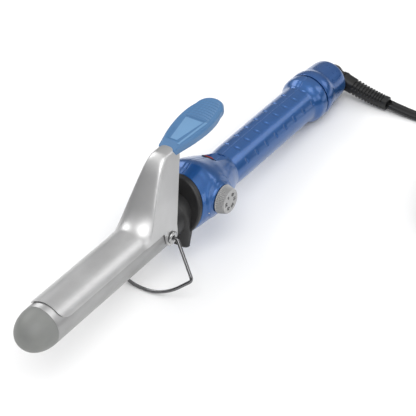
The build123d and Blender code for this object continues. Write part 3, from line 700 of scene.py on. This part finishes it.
def make_end_cap():
    """The rear cap: the collar's rear half, a shoulder and a plain drum with a flat end."""
    outline = [
        (128.0, 11.2), (128.0, 12.7), (134.2, 12.7), (134.2, 14.7), (135.3, 14.7), (135.3, 15.85),
        (135.7, 16.08), (140.6, COLLAR_R), (142.6, 15.75), (144.2, 15.15), (145.6, 14.7),
        (147.5, 14.52), (152.0, 14.35), (158.0, 14.0), (161.2, 13.75), (162.3, 13.4),
        (162.85, 12.7), (163.0, 11.8), (163.0, 7.2), (162.8, 6.5), (162.0, 6.3), (152.5, 6.3),
        (152.5, 11.0),
    ]
    cap = turned("rear_cap", outline, count=128, closed=True)
    finish(cap, CAP_BLUE, "handle", "cap_plastic", "end_cap", sharp=38)


# ---------- housing
def leaning_height(half_height, lean):
    """The vertical half height of an oval that leans back."""
    return half_height * math.cos(math.atan(lean))


HUMP = [                   # x of the middle, lean, height of the middle, half width, half height
    (RIM_X + RIM_SLOPE * RIM_Z, RIM_SLOPE, RIM_Z, RIM_R, leaning_height(RIM_HALF_HEIGHT, RIM_SLOPE)),
    (-13.37, 0.197, 4.7, 20.4, leaning_height(19.4, 0.197)),
    (-3.0, 0.0, 5.2, 21.6, 20.1),
    (8.5, 0.0, 3.2, 20.2, 17.8),
    (18.5, 0.0, 1.5, 16.9, 15.2),
    (25.5, 0.0, 0.3, 13.9, 13.6),
    (NECK_X, 0.0, 0.0, NECK_R, NECK_R),
]
GRIP = [                   # x, radius
    (NECK_X, NECK_R), (29.3, 12.42), (33.0, 12.5), (40.0, 12.78), (90.0, 12.92), (119.0, 13.02),
    (122.5, 13.2), (124.3, 13.9), (126.2, 15.0), (128.0, 15.8), (130.0, 16.08),
    (133.4, COLLAR_R), (133.85, 15.9), (134.0, 15.4),
]
DIMPLE_X = [41.0 + 11.45 * k for k in range(8)]
DIMPLE_ANGLES = [math.radians(a) for a in (18.5, 64.0)]


def hump_station(x):
    """The oval whose middle is at x: its lean, middle height, half width and half height."""
    return row_at(HUMP, x)


def dimple_depth(x, angle):
    """How far the grip is pressed in: short slanting strokes, in two rows each side of the top."""
    half_length, half_width, slant, deepest, grip_r = 2.6, 1.5, 0.25, 0.62, 12.8
    if not DIMPLE_X[0] - 3 < x < DIMPLE_X[-1] + 3:
        return 0.0
    nearest = min(DIMPLE_X, key=lambda place: abs(place - x))
    for row in DIMPLE_ANGLES:
        across = (angle - row) * grip_r
        along = x - nearest - slant * across
        reach = (across / half_length) ** 2 + (along / half_width) ** 2
        if reach < 1:
            return deepest * (1 - reach) ** 1.6
    return 0.0


def notch_height(x):
    """The floor of the notch behind the crest: a slope for the switch, then level."""
    return soft_high(CREST_Z - (x - CREST_X), NOTCH_Z, 1.2)


def housing_point(x, angle, side):
    """A point of the housing's skin; angle is from the top, and side is 1 left or -1 right."""
    boss_height, well_r = 0.55, 10.6
    seam = min(angle, math.pi - angle)
    if x < NECK_X:
        lean, middle, half_width, half_height = hump_station(x)
    else:
        lean, middle = 0.0, 0.0
        half_width = half_height = through(GRIP, x)
    gap = seam * half_width
    inset = 0.30 * (1 - smoothstep(0.0, 0.45, gap))
    if side > 0:
        inset += 0.22 * (1 - smoothstep(2.2, 3.4, gap)) * (1 - smoothstep(130, 133, x))
    if x >= NECK_X:
        inset += dimple_depth(x, angle)
    y = (half_width - inset) * math.sin(angle)
    z = middle + (half_height - inset) * math.cos(angle)
    px = x + lean * (z - middle)
    if CREST_X - 2 < x < NECK_X and y < NOTCH_HALF and z > 0:
        z = min(z, notch_height(px) - inset)
    if side < 0 and x < NECK_X:
        reach = math.hypot(px - DIAL_X, z - DIAL_Z)
        if angle < 2.6 and y > 8:
            y += boss_height * (1 - smoothstep(12.8, 14.4, reach))
        if reach < well_r:
            y = mix(-DIAL_BACK_Y - 0.4, y, smoothstep(9.2, well_r, reach))
    return (px, side * y, z)


def make_housing(side, name, node):
    """One half of the housing's skin, from the heat shield to the rear cap."""
    stations = spread(HUMP[0][0], NECK_X, 170)[:-1] + [NECK_X + 0.02]
    stations += spread(NECK_X + 0.3, 122.4, 300) + spread(122.8, 133.4, 30)
    stations += [133.65, 133.85, 134.0]
    notch_mark, seam_steps = 0.30, (0.008, 0.018, 0.03)
    base = spread(0, math.pi, 170) + [notch_mark - 0.004, notch_mark + 0.004]
    base = sorted(base + list(seam_steps) + [math.pi - step for step in seam_steps])
    rings = []
    for x in stations:
        half_width = hump_station(min(x, NECK_X))[2]
        notch_edge = math.asin(NOTCH_HALF / half_width)
        ring = []
        for angle in base:
            if angle < notch_mark:
                moved = mix(angle, notch_edge * angle / notch_mark, smoothstep(0.03, 0.12, angle))
            else:
                moved = mix(notch_edge, math.pi, (angle - notch_mark) / (math.pi - notch_mark))
            ring.append(housing_point(x, moved, side))
        rings.append(ring)
    shell = open_skin(name, rings)
    cut_switch_window(shell)
    thicken(shell, 1.1)
    finish(shell, BLUE, "handle", "housing_plastic", node, sharp=40)


def cut_switch_window(shell):
    """Opens the skin where the switch's well is."""
    to_iron = REST.inverted()
    along = Vector((math.cos(SWITCH_SLOPE), 0, -math.sin(SWITCH_SLOPE)))
    middle = Vector((SWITCH_X, 0, SWITCH_Z))
    bm = bmesh.new()
    bm.from_mesh(shell.data)
    inside = []
    for face in bm.faces:
        offset = to_iron @ face.calc_center_median() - middle
        if abs(offset.dot(along)) < 4.3 and abs(offset.y) < 3.9 and offset.z > -6:
            inside.append(face)
    bmesh.ops.delete(bm, geom=inside, context="FACES")
    bm.to_mesh(shell.data)
    bm.free()


# ---------- heat shield
def make_heat_shield():
    """A black leaning disc, a block that the barrel passes through, and a thin sleeve ahead."""
    outline = [            # distance back along X, radius
        (-0.1, 18.35), (-0.6, 18.6), (-2.6, 18.45), (-3.3, 18.1), (-3.6, 17.4), (-3.45, 12.0),
        (-3.2, 0.5),
    ]
    tall = leaning_height(RIM_HALF_HEIGHT, RIM_SLOPE) / RIM_R
    rings = []
    for back, radius in rounded(outline, 0.5, 3):
        ring = []
        for c, d in around(128):
            z = RIM_Z + radius * tall * c
            ring.append((RIM_X + RIM_SLOPE * z + back, radius * d, z))
        rings.append(ring)
    disc = lofted("shield_disc", rings)
    finish(disc, SHIELD_BLACK, "handle", "shield_plastic", "heat_shield", sharp=50)

    half, top_z, bottom_z, front_x = 14.3, -1.2, -18.4, -31.0
    edge_r, corner_r, behind_rim = 3.6, 1.6, -0.6

    def outline_at(inset):
        r, low = half - inset, bottom_z + inset * 0.5 + corner_r
        arcs = (
            (0, top_z, r, spread(0, math.pi, 48)),
            (-r + corner_r, low, corner_r, spread(math.pi, 1.5 * math.pi, 8)),
            (r - corner_r, low, corner_r, spread(1.5 * math.pi, 2 * math.pi, 8)),
        )
        return [
            (y + radius * math.cos(a), z + radius * math.sin(a))
            for y, z, radius, angles in arcs
            for a in angles
        ]

    rings = []
    for a in spread(0, math.pi / 2, 12):
        x = front_x + edge_r * (1 - math.cos(a))
        rings.append([(x, y, z) for y, z in outline_at(edge_r * (1 - math.sin(a)))])
    for t in (0.25, 0.5, 0.75, 1.0):
        rings.append([
            (mix(front_x + edge_r, RIM_X + RIM_SLOPE * z + behind_rim, t), y, z)
            for y, z in outline_at(0.0)
        ])
    block = lofted("shield_block", rings)
    finish(block, SHIELD_BLACK, "handle", "shield_plastic", sharp=40)

    start_x, end_x, in_r, out_r = -38.6, front_x + 2, 12.65, 12.74
    outline = [(start_x, in_r), (start_x, out_r), (end_x, out_r), (end_x, in_r)]
    sleeve = turned("shield_sleeve", outline, closed=True)
    finish(sleeve, SHIELD_BLACK, "handle", "shield_plastic", sharp=40)


# ---------- barrel and tip
def make_barrel():
    bore_r, edge = 11.9, 0.25
    outline = [
        (BARREL_FRONT, bore_r), (BARREL_FRONT, 12.5), (BARREL_FRONT + edge, BARREL_R),
        (-100.0, BARREL_R), (-60.0, BARREL_R), (BARREL_REAR, BARREL_R), (BARREL_REAR, bore_r),
    ]
    barrel = turned("barrel_skin", outline, count=160, closed=True)
    finish(barrel, BARREL, "handle", "barrel_metal", "barrel_tube", sharp=40)


def make_tip():
    """The cool tip: a short drum with a fine step, closed by a blunt dome."""
    dome_start, dome_r, fullness, bluntness = -153.2, 12.66, 1.9, 2.35
    outline = [(-146.0, 11.7), (-151.8, 11.7), (-151.85, 12.35), (-152.15, 12.62)]
    for t in spread(0, 1, 48)[:-1]:
        reach = math.sin(t * math.pi / 2)
        radius = dome_r * (1 - reach ** fullness) ** (1 / bluntness)
        outline.append((mix(dome_start, TIP_END, reach), radius))
    tip = turned("tip_dome", outline + [(TIP_END, 0.0)], count=128)
    finish(tip, TIP_GREY, "handle", "tip_plastic", "tip_cap", sharp=50)


# ---------- clamp
def between(points, x):
    """Straight lines through (x, value) points, read at x."""
    if x <= points[0][0]:
        return points[0][1]
    for (x0, y0), (x1, y1) in zip(points, points[1:]):
        if x <= x1:
            return mix(y0, y1, (x - x0) / (x1 - x0))
    return points[-1][1]


def clamp_apex(x):
    """Height of the clamp's top line: the jaw, the rising web and the level head."""
    ahead, soft = x - FOOT_X, 6.5
    if ahead <= -soft:
        ramp = 0.0
    elif ahead >= soft:
        ramp = ahead
    else:
        ramp = (ahead + soft) ** 2 / (4 * soft)
    return soft_low(CLAMP_OUT_R + ramp * math.tan(RISE), LEVER_TOP_Z, 9.0)


EDGE_Z = CLAMP_OUT_R * math.cos(math.radians(JAW_ANGLE))
EAR_R, EAR_RAMP, EAR_LOW = 5.5, 1.2, -0.6
CLAMP_EDGE = [             # x, height of the clamp's lower edge behind its ear
    (PIVOT_X + EAR_R, EAR_LOW), (PIVOT_X + EAR_R + 0.4, 2.4), (-38.8, 5.4), (-24.6, 46.4),
    (CLAMP_REAR, 49.4),
]


def clamp_edge(x):
    """Height of the clamp's lower edge: the jaw's rounded corner, its edge, the ear, the slope."""
    corner_height = 5.6
    if x < CLAMP_FRONT + CLAMP_CORNER:
        t = (CLAMP_FRONT + CLAMP_CORNER - x) / CLAMP_CORNER
        return EDGE_Z + corner_height * (1 - math.sqrt(max(1 - t * t, 0.0)))
    if x < PIVOT_X - EAR_R - EAR_RAMP:
        return EDGE_Z
    if x < PIVOT_X - EAR_R:
        t = (x - PIVOT_X + EAR_R + EAR_RAMP) / EAR_RAMP
        return mix(EDGE_Z, EAR_LOW, smoothstep(0, 1, t))
    if x < PIVOT_X + EAR_R:
        return min(-math.sqrt(max(EAR_R ** 2 - (x - PIVOT_X) ** 2, 0.0)), EAR_LOW)
    return between(CLAMP_EDGE, x)


def clamp_half_section(x):
    """The clamp's skin at x, from its top down one side to its edge, as (y, z) points."""
    apex, edge = clamp_apex(x), clamp_edge(x)
    head_crown_r, crown_full_x = 26.0, -38.0
    crown_r = mix(CLAMP_OUT_R, head_crown_r, smoothstep(FOOT_X, crown_full_x, x))

    def crown(y):
        return apex - crown_r + math.sqrt(max(crown_r ** 2 - y * y, 0.0))

    low, high = 0.0, CLAMP_OUT_R * math.cos(LEAN)
    for _ in range(40):
        y = (low + high) / 2
        if y * math.cos(LEAN) + crown(y) * math.sin(LEAN) < CLAMP_OUT_R:
            low = y
        else:
            high = y
    corner_y, corner_z = low, crown(low)
    points = [(y, crown(y)) for y in spread(0.0, corner_y, 40)]
    side_y, side_z = CLAMP_OUT_R * math.cos(LEAN), CLAMP_OUT_R * math.sin(LEAN)
    if corner_z > side_z + 0.05:
        for t in spread(0, 1, 60)[1:]:
            points.append((mix(corner_y, side_y, t), mix(corner_z, side_z, t)))
    for a in spread(math.pi / 2 - LEAN, math.pi / 2, 8)[1:]:
        points.append((CLAMP_OUT_R * math.sin(a), CLAMP_OUT_R * math.cos(a)))
    points += [(CLAMP_OUT_R, z) for z in spread(0.0, -6.0, 12)[1:]]
    kept = [points[0]]
    for before, point in zip(points, points[1:]):
        if point[1] >= edge:
            kept.append(point)
            continue
        t = (before[1] - edge) / max(before[1] - point[1], 1e-6)
        kept.append((mix(before[0], point[0], t), edge))
        break
    return kept


def resampled(points, count):
    """Points spread evenly along a line of points."""
    lengths = [0.0]
    for a, b in zip(points, points[1:]):
        lengths.append(lengths[-1] + math.dist(a, b))
    out, k = [], 0
    for i in range(count):
        goal = lengths[-1] * i / (count - 1)
        while k < len(points) - 2 and lengths[k + 1] < goal:
            k += 1
        span = max(lengths[k + 1] - lengths[k], 1e-9)
        t = min(max((goal - lengths[k]) / span, 0.0), 1.0)
        out.append(tuple(mix(a, b, t) for a, b in zip(points[k], points[k + 1])))
    return out


def softened(points, reach):
    """Rounds the corners of a line of evenly spread points, and keeps its two ends."""
    step = max(math.dist(points[0], points[1]), 1e-6)
    window = min(int(round(reach / step)), len(points) // 3)
    for _ in range(2):
        out = []
        for i in range(len(points)):
            w = min(window, i, len(points) - 1 - i)
            part = points[i - w:i + w + 1]
            out.append(tuple(sum(p[axis] for p in part) / len(part) for axis in (0, 1)))
        points = out
    return points


def clamp_section(x):
    half = clamp_half_section(x)
    whole = [(-y, z) for y, z in reversed(half)] + half[1:]
    bend = 1.7 * smoothstep(FOOT_X - 4, FOOT_X + 14, x)
    even = resampled(whole, 361)
    if bend > 0.05:
        even = softened(even, bend)
    return [(x, y, z) for y, z in resampled(even, 181)]


def thicken(obj, wall):
    """Gives an open skin its thickness, on the side towards the iron's long axis."""
    to_iron = REST.inverted()
    mesh = obj.data
    total = 0.0
    for polygon in mesh.polygons:
        middle = to_iron @ polygon.center
        normal = to_iron.to_3x3() @ polygon.normal
        total += (middle.y * normal.y + middle.z * normal.z) * polygon.area
    if total < 0:
        mesh.flip_normals()
    solid = obj.modifiers.new("wall", "SOLIDIFY")
    solid.thickness = wall * MM
    solid.offset = -1


def make_clamp():
    """The bent clamp plate with its ears, and the tongue under the thumb paddle."""
    front_ear, rear_ear = PIVOT_X - EAR_R, PIVOT_X + EAR_R
    corner = spread(0, math.pi / 2, 16)
    stations = [CLAMP_FRONT + CLAMP_CORNER * (1 - math.cos(a)) for a in corner]
    stations += spread(-140.0, -75.0, 40) + spread(-74.0, front_ear - EAR_RAMP - 0.1, 60)
    stations += spread(front_ear - EAR_RAMP, front_ear, 8)
    stations += [PIVOT_X - EAR_R * math.cos(a) for a in spread(0, math.pi, 36)[1:-1]]
    stations += spread(rear_ear, CLAMP_REAR, 60)
    rings = [clamp_section(x) for x in stations]
    clamp = open_skin("clamp_plate", rings)
    thicken(clamp, CLAMP_SHEET)
    edge = clamp.modifiers.new("edge", "BEVEL")
    edge.width = 0.18 * MM
    edge.segments = 2
    edge.limit_method = "ANGLE"
    edge.angle_limit = math.radians(60)
    edge.harden_normals = True
    finish(clamp, STEEL, "clamp", "barrel_metal", "clamp_lever", sharp=50)

    half_width, reach = 4.2, 8.0
    rings = []
    for x, z in ((-27.0, 0.0), (-18.0, 0.0), (-17.0, 0.06), (reach - 1.5, 2.45), (reach, 2.6)):
        w = half_width if x < reach else half_width - 1.2
        top = LEVER_TOP_Z + z - 0.1
        under = top - CLAMP_SHEET
        rings.append([(x, -w, top), (x, w, top), (x, w, under), (x, -w, under)])
    finish(lofted("clamp_tongue", rings), STEEL, "clamp", "barrel_metal", sharp=30)


# ---------- thumb paddle
PADDLE = (
    Matrix.Translation((-4.0, 0.0, LEVER_TOP_Z + 1.4))
    @ Matrix.Rotation(-PADDLE_SLOPE, 4, "Y")
)
PADDLE_HALF = [            # distance along the paddle from its middle, half width
    (-26.5, 5.6), (-20.0, 7.2), (-12.0, 9.2), (-4.0, 10.5), (4.0, 11.1), (12.0, 10.6), (18.0, 9.2),
]
PADDLE_LOW, PADDLE_HIGH = -3.4, 2.2
PADDLE_FRONT, PADDLE_END = -26.5, 28.0
DISH_DEPTH = 1.0


def paddle_rim():
    """Points round the paddle's edge, closed, starting at the middle of its front end."""
    side = [(PADDLE_FRONT, 0.0), (PADDLE_FRONT, 2.0), (-26.45, 4.6), (-26.0, 5.5), (-25.2, 5.9)]
    end_u, end_w = PADDLE_HALF[-1]
    side += [(u, through(PADDLE_HALF, u)) for u in spread(-24.5, end_u, 60)]
    for a in spread(0, math.pi / 2, 30)[1:]:
        side.append((mix(end_u, PADDLE_END, math.sin(a)), end_w * math.cos(a) ** 0.92))
    whole = side + [(u, -v) for u, v in reversed(side[1:-1])]
    return resampled(whole + [whole[0]], 361)[:-1]


def paddle_height(u, v, depth):
    """Height of the paddle's top: a shoulder, a shallow thumb dish and ribs behind it."""
    dish_end, rib_start, rib_length, rib_pitch, rib_depth, rib_bow = 5.6, 6.4, 18.5, 2.3, 0.42, 0.02
    z = PADDLE_HIGH - 1.5 * (1 - smoothstep(0.0, 1.5, depth)) ** 1.5
    z -= 1.7 * smoothstep(-19.0, PADDLE_FRONT, u)
    dish = smoothstep(2.0, 4.6, depth) * smoothstep(-19.5, -17.5, u)
    z -= DISH_DEPTH * dish * (1 - smoothstep(dish_end - 1.0, dish_end, u))
    along = u + rib_bow * v * v - rib_start
    if u > dish_end and 0 < along < rib_length:
        inside = smoothstep(2.2, 3.4, depth)
        z -= rib_depth * inside * (0.5 - 0.5 * math.cos(2 * math.pi * along / rib_pitch))
    return z


def make_paddle():
    """The thumb paddle: rings from the middle of its underside out to its rim and in over its top."""
    rim = paddle_rim()
    layers = [(0.7, PADDLE_LOW), (0.15, PADDLE_LOW + 0.25), (0.0, PADDLE_LOW + 0.8), (0.0, 0.2)]
    spine_low, spine_high, lowest_top = -21.0, 17.5, 0.45

    def inset(u, v, depth):
        """A rim point moved inwards, towards the paddle's spine."""
        spine_u = min(max(u, spine_low), spine_high)
        away = max(math.hypot(u - spine_u, v), 1e-6)
        t = min(depth / away, 1.0)
        return mix(u, spine_u, t), mix(v, 0.0, t), away

    rings = [[(-2.0, 0.0, PADDLE_LOW)] * len(rim)]
    for depth, z in layers:
        rings.append([(*inset(u, v, depth)[:2], z) for u, v in rim])
    for step in spread(0, 1, 46):
        ring = []
        for u, v in rim:
            depth = inset(u, v, 0.0)[2] * step ** 1.25
            pu, pv, _ = inset(u, v, depth)
            ring.append((pu, pv, max(paddle_height(pu, pv, depth), lowest_top)))
        rings.append(ring)
    paddle = lofted("thumb_pad", rings, REST @ PADDLE, close_start=False, close_end=False)
    finish(paddle, PADDLE_BLUE, "clamp", "paddle_plastic", "thumb_paddle", sharp=70)
    make_paddle_panels()


def make_paddle_panels():
    """Two paler thin plates that paint light onto the paddle's top: painted light where the thumb dish
    faces the light, and a painted highlight strip along the right shoulder's ridge.
    """
    dish, shoulder = PADDLE_HIGH - DISH_DEPTH, PADDLE_HIGH - 0.02
    # Painted light: the lit thumb dish, and a painted highlight along the right shoulder's ridge.
    shapes = (
        ("thumb_dish_painted_light", [(-17.2, -1.4), (4.2, -5.6), (4.2, 6.6), (-17.2, 3.2)], dish),
        ("shoulder_painted_highlight", [(-21.0, -5.6), (4.0, -9.0), (4.0, -7.4), (-21.0, -4.4)], shoulder),
    )
    for name, corners, height in shapes:
        middle_u, middle_v = (sum(values) / 4 for values in zip(*corners))
        rings = []
        for lift, grow in ((-0.15, 1.0), (0.03, 1.0), (0.08, 0.97)):
            rings.append([
                (mix(middle_u, u, grow), mix(middle_v, v, grow), height + lift) for u, v in corners
            ])
        painted_plate = lofted(name, rings, REST @ PADDLE)
        finish(painted_plate, PAINTED_LIGHT_BLUE, "clamp", "paddle_plastic", sharp=30)


# ---------- hinge eyelets and stand
def make_eyelets():
    """The two hollow rivets that the clamp and the stand turn on."""
    outline = [            # distance from the middle, radius
        (9.4, 0.0), (9.4, 3.1), (9.9, 3.2), (10.1, 2.2), (14.0, 2.2), (14.05, 3.85), (14.3, 3.92),
        (14.75, 3.75), (15.1, 3.2), (15.2, 2.5), (15.1, 1.9), (14.8, 1.5), (14.2, 1.25),
        (12.0, 1.15), (11.3, 1.1), (11.2, 0.0),
    ]
    for side, name in ((-1, "eyelet_right"), (1, "eyelet_left")):
        rings = [[(PIVOT_X + r * c, side * y, r * d) for c, d in around(64)] for y, r in outline]
        finish(lofted(name, rings), RIVET, "handle", "rivet_steel", "pivot_eyelets", sharp=60)


def stand_point(y, r):
    return Vector((PIVOT_X - r * math.cos(STAND_ANGLE), y, -r * math.sin(STAND_ANGLE)))


def bent_line(points, bends):
    """A line of straight runs joined by arcs of given radii, as a wire is bent."""
    line = [points[0]]
    for before, corner, after, radius in zip(points, points[1:], points[2:], bends):
        a, b = (before - corner).normalized(), (after - corner).normalized()
        half = a.angle(b) / 2
        reach = radius / math.tan(half)
        middle = corner + (a + b).normalized() * (radius / math.sin(half))
        start, end = corner + a * reach - middle, corner + b * reach - middle
        sweep = start.angle(end)
        for t in spread(0, 1, 14):
            blend = start * math.sin((1 - t) * sweep) + end * math.sin(t * sweep)
            line.append(middle + blend / math.sin(sweep))
    line.append(points[-1])
    return line


def make_stand():
    half = [               # distance across, distance outwards from the hinge, bend radius
        (11.6, 0.0, 0.0), (17.4, 0.0, 2.2), (32.7, 21.1, 2.6), (20.5, 32.2, 38.0),
        (8.0, STAND_REACH, 32.0),
    ]
    outline = half + [(-y, r, bend) for y, r, bend in reversed(half)]
    corners = [stand_point(y, r) for y, r, _ in outline]
    line = bent_line(corners, [bend for _, _, bend in outline[1:-1]])
    wire = lofted("stand_bail", sweep_rings(line, lambda i: circle_profile(WIRE_R, 28)))
    finish(wire, CHROME, "stand", "stand_steel", "stand_wire", sharp=50)


# ---------- dial
DIAL = Matrix.Translation((DIAL_X, 0, DIAL_Z))


def make_dial():
    """A fluted wheel with a chamfered edge, a raised border and a shallow face."""
    teeth, per_tooth = 46, 8
    count = teeth * per_tooth
    face_r = 6.3

    def ring(y, radius, flute):
        points = []
        for j, (c, d) in enumerate(around(count)):
            wave = (j % per_tooth) / per_tooth
            r = radius - flute * smoothstep(0.15, 0.4, min(wave, 1 - wave) * 2)
            points.append((r * c, -y, r * d))
        return points

    back, front = -DIAL_BACK_Y, -DIAL_FACE_Y
    outline = [            # distance from the iron's middle, radius, depth of the flutes
        (back, 0.0, 0.0), (back, DIAL_R - 0.7, 0.0), (back + 0.25, DIAL_R - 0.25, 0.0),
        (back + 0.55, DIAL_R - 0.1, 0.4), (back + 0.9, DIAL_R - 0.2, 0.9),
        (front - 1.1, DIAL_R - 1.3, 0.9), (front - 0.65, DIAL_R - 1.55, 0.35),
        (front - 0.3, DIAL_R - 1.8, 0.06), (front - 0.08, DIAL_R - 2.1, 0.0),
        (front, DIAL_R - 2.5, 0.0), (front - 0.02, face_r + 0.1, 0.0),
        (front - 0.25, face_r - 0.1, 0.0), (front - 0.4, face_r - 0.4, 0.0),
        (front - 0.4, 2.2, 0.0), (front - 0.3, 1.9, 0.0), (front - 0.3, 0.0, 0.0),
    ]
    rings = [ring(*row) for row in outline]
    dial = lofted("dial_wheel", rings, REST @ DIAL, close_start=False, close_end=False)
    finish(dial, DIAL_GREY, "dial", "dial_plastic", "temperature_dial", sharp=34)
    make_dial_numbers(front - 0.38)


def make_dial_numbers(face):
    """Raised numbers from 5 to 30 round the dial's face, their feet towards its middle."""
    values, radius, first, sweep = (5, 10, 15, 20, 25, 30), 4.3, math.radians(120), math.radians(300)
    bm = bmesh.new()
    for i, value in enumerate(values):
        a = first - sweep * i / (len(values) - 1)
        text = bpy.data.curves.new("number", "FONT")
        text.body = str(value)
        text.size = 2.95
        text.offset = 0.09
        text.extrude = 0.06
        text.align_x, text.align_y = "CENTER", "CENTER"
        mesh = curve_mesh(text)
        mesh.transform(
            REST @ DIAL
            @ Matrix.Translation((radius * math.cos(a), -face, radius * math.sin(a)))
            @ Matrix.Rotation(math.pi / 2, 4, "X")
            @ Matrix.Rotation(a - math.pi / 2, 4, "Z")
        )
        bm.from_mesh(mesh)
        bpy.data.meshes.remove(mesh)
    joined = bpy.data.meshes.new("dial_numbers")
    bm.to_mesh(joined)
    bm.free()
    finish(placed("dial_numbers", joined), DIAL_INK, "dial", "dial_plastic")


def make_dial_mark():
    """A small raised pointer on the housing, ahead of the dial."""
    x, y, z = -14.8, -20.2, 2.3
    longer = 1.5
    way = Vector((0.93, 0, 0.37)).normalized()
    across = Vector((-way.z, 0, way.x))
    rings = []
    for reach, lift in ((0.62, -0.6), (0.62, 0.12), (0.5, 0.24), (0.0, 0.26)):
        middle = Vector((x, y - lift, z))
        rings.append([
            tuple(middle + way * (longer * reach * c) + across * (reach * d)) for c, d in around(24)
        ])
    finish(lofted("dial_pointer", rings), DIAL_GREY, "handle", "housing_plastic")


# ---------- switch
def make_rocker():
    """The red rocker: a saddle-shaped key, raised at the end that isn't pressed."""
    place = (
        REST
        @ Matrix.Translation((SWITCH_X, 0, SWITCH_Z))
        @ Matrix.Rotation(SWITCH_SLOPE, 4, "Y")
    )
    half = 3.2
    top = [
        (-3.6, 1.15), (-3.35, 1.35), (-2.8, 1.2), (-1.2, 0.8), (0.5, 0.5), (2.2, 0.48),
        (3.35, 0.6), (3.6, 0.35),
    ]
    low = [(-3.6, -1.6), (0.0, -3.0), (3.6, -1.6)]
    rings = []
    for v in (-half, -3.05, -2.6, -1.3, 0.0, 1.3, 2.6, 3.05, half):
        drop = 0.35 * (abs(v) / half) ** 6
        ring = [(u, v, z - drop) for u, z in resampled(top, 24)]
        rings.append(ring + [(u, v, z) for u, z in reversed(resampled(low, 9))])
    rocker = lofted("rocker_key", rings, place)
    finish(rocker, RED, "rocker", "red_plastic", "switch_rocker", sharp=45)


# ---------- everything is made
make_swivel()
make_end_cap()
make_housing(1, "left_half", "housing_left")
make_housing(-1, "right_half", "housing_right")
make_heat_shield()
make_barrel()
make_tip()
make_clamp()
make_paddle()
make_eyelets()
make_stand()
make_dial()
make_dial_mark()
make_rocker()

INNER = (
    (CASE_BLACK, ("board_components", "potentiometer", "thermal_fuse", "temperature_sensor")),
    (BOARD, ("control_board",)),
    (SLEEVING, ("heater_leads", "mains_leads")),
    (CERAMIC, ("ptc_heater",)),
    (ALUMINIUM, ("heat_spreader_upper", "heat_spreader_lower")),
    (PHENOLIC, ("barrel_insulator",)),
    (BRASS, ("swivel_contacts",)),
    (INNER_STEEL, ("pivot_ring", "clamp_spring", "housing_screws")),
    (RIVET, ("paddle_rivets",)),
    (GLOSS_BLACK, ("switch_body", "dial_shaft")),
    (BLADE_METAL, ("plug_blades",)),
)
for material, nodes in INNER:
    for node in nodes:
        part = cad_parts[node]
        part.data.materials.clear()
        part.data.materials.append(material)


# ---------- studio
def floor_plane(name, half):
    """A square floor at the height of 0."""
    mesh = bpy.data.meshes.new(name)
    corners = [(-half, -half, 0), (half, -half, 0), (half, half, 0), (-half, half, 0)]
    mesh.from_pydata(corners, [], [(0, 1, 2, 3)])
    return placed(name, mesh)


def make_studio():
    floor = floor_plane("studio_floor", 6.0)
    n = Nodes("studio_floor")
    n.colour(n.ramp(n.noise(3, 2), (0.90, 0.90, 0.90), (0.93, 0.93, 0.93)))
    n.set(Roughness=0.9, Specular_IOR_Level=0.1)
    floor.data.materials.append(n.material)
    bpy.context.scene.world = studio_sky()
    bpy.context.scene.view_settings.view_transform = "Standard"
    lights = (             # name, place, height of the point it faces, size, power
        ("key", (-0.55, -0.55, 1.25), 0.02, 1.2, 12.0),
        ("fill", (1.1, -0.9, 0.8), 0.03, 0.7, 3.0),
        ("back", (0.2, 1.1, 0.9), 0.03, 0.8, 6.0),
        ("side", (0.15, -0.95, 0.35), 0.03, 0.4, 1.0),
    )
    for row in lights:
        soft_box(*row)


def studio_sky():
    """A pale dome that darkens towards the horizon, so that metal shows its roundness."""
    world = bpy.data.worlds.new("studio")
    world.use_nodes = True
    tree = world.node_tree
    coords = tree.nodes.new("ShaderNodeTexCoord")
    split = tree.nodes.new("ShaderNodeSeparateXYZ")
    ramp = tree.nodes.new("ShaderNodeValToRGB")
    tree.links.new(coords.outputs["Generated"], split.inputs[0])
    tree.links.new(split.outputs["Z"], ramp.inputs[0])
    tree.links.new(ramp.outputs[0], tree.nodes["Background"].inputs["Color"])
    low, high = ramp.color_ramp.elements
    low.position, low.color = 0.05, (0.16, 0.16, 0.17, 1)
    high.position, high.color = 0.85, (1, 1, 1, 1)
    tree.nodes["Background"].inputs["Strength"].default_value = 0.85
    return world


def soft_box(name, place, target_height, size, power):
    light = bpy.data.lights.new(name, "AREA")
    light.energy = power
    light.size = size
    lamp = placed(name, light)
    lamp.location = place
    way = Vector((0, 0, target_height)) - Vector(place)
    lamp.rotation_euler = way.to_track_quat("-Z", "Y").to_euler()


make_studio()
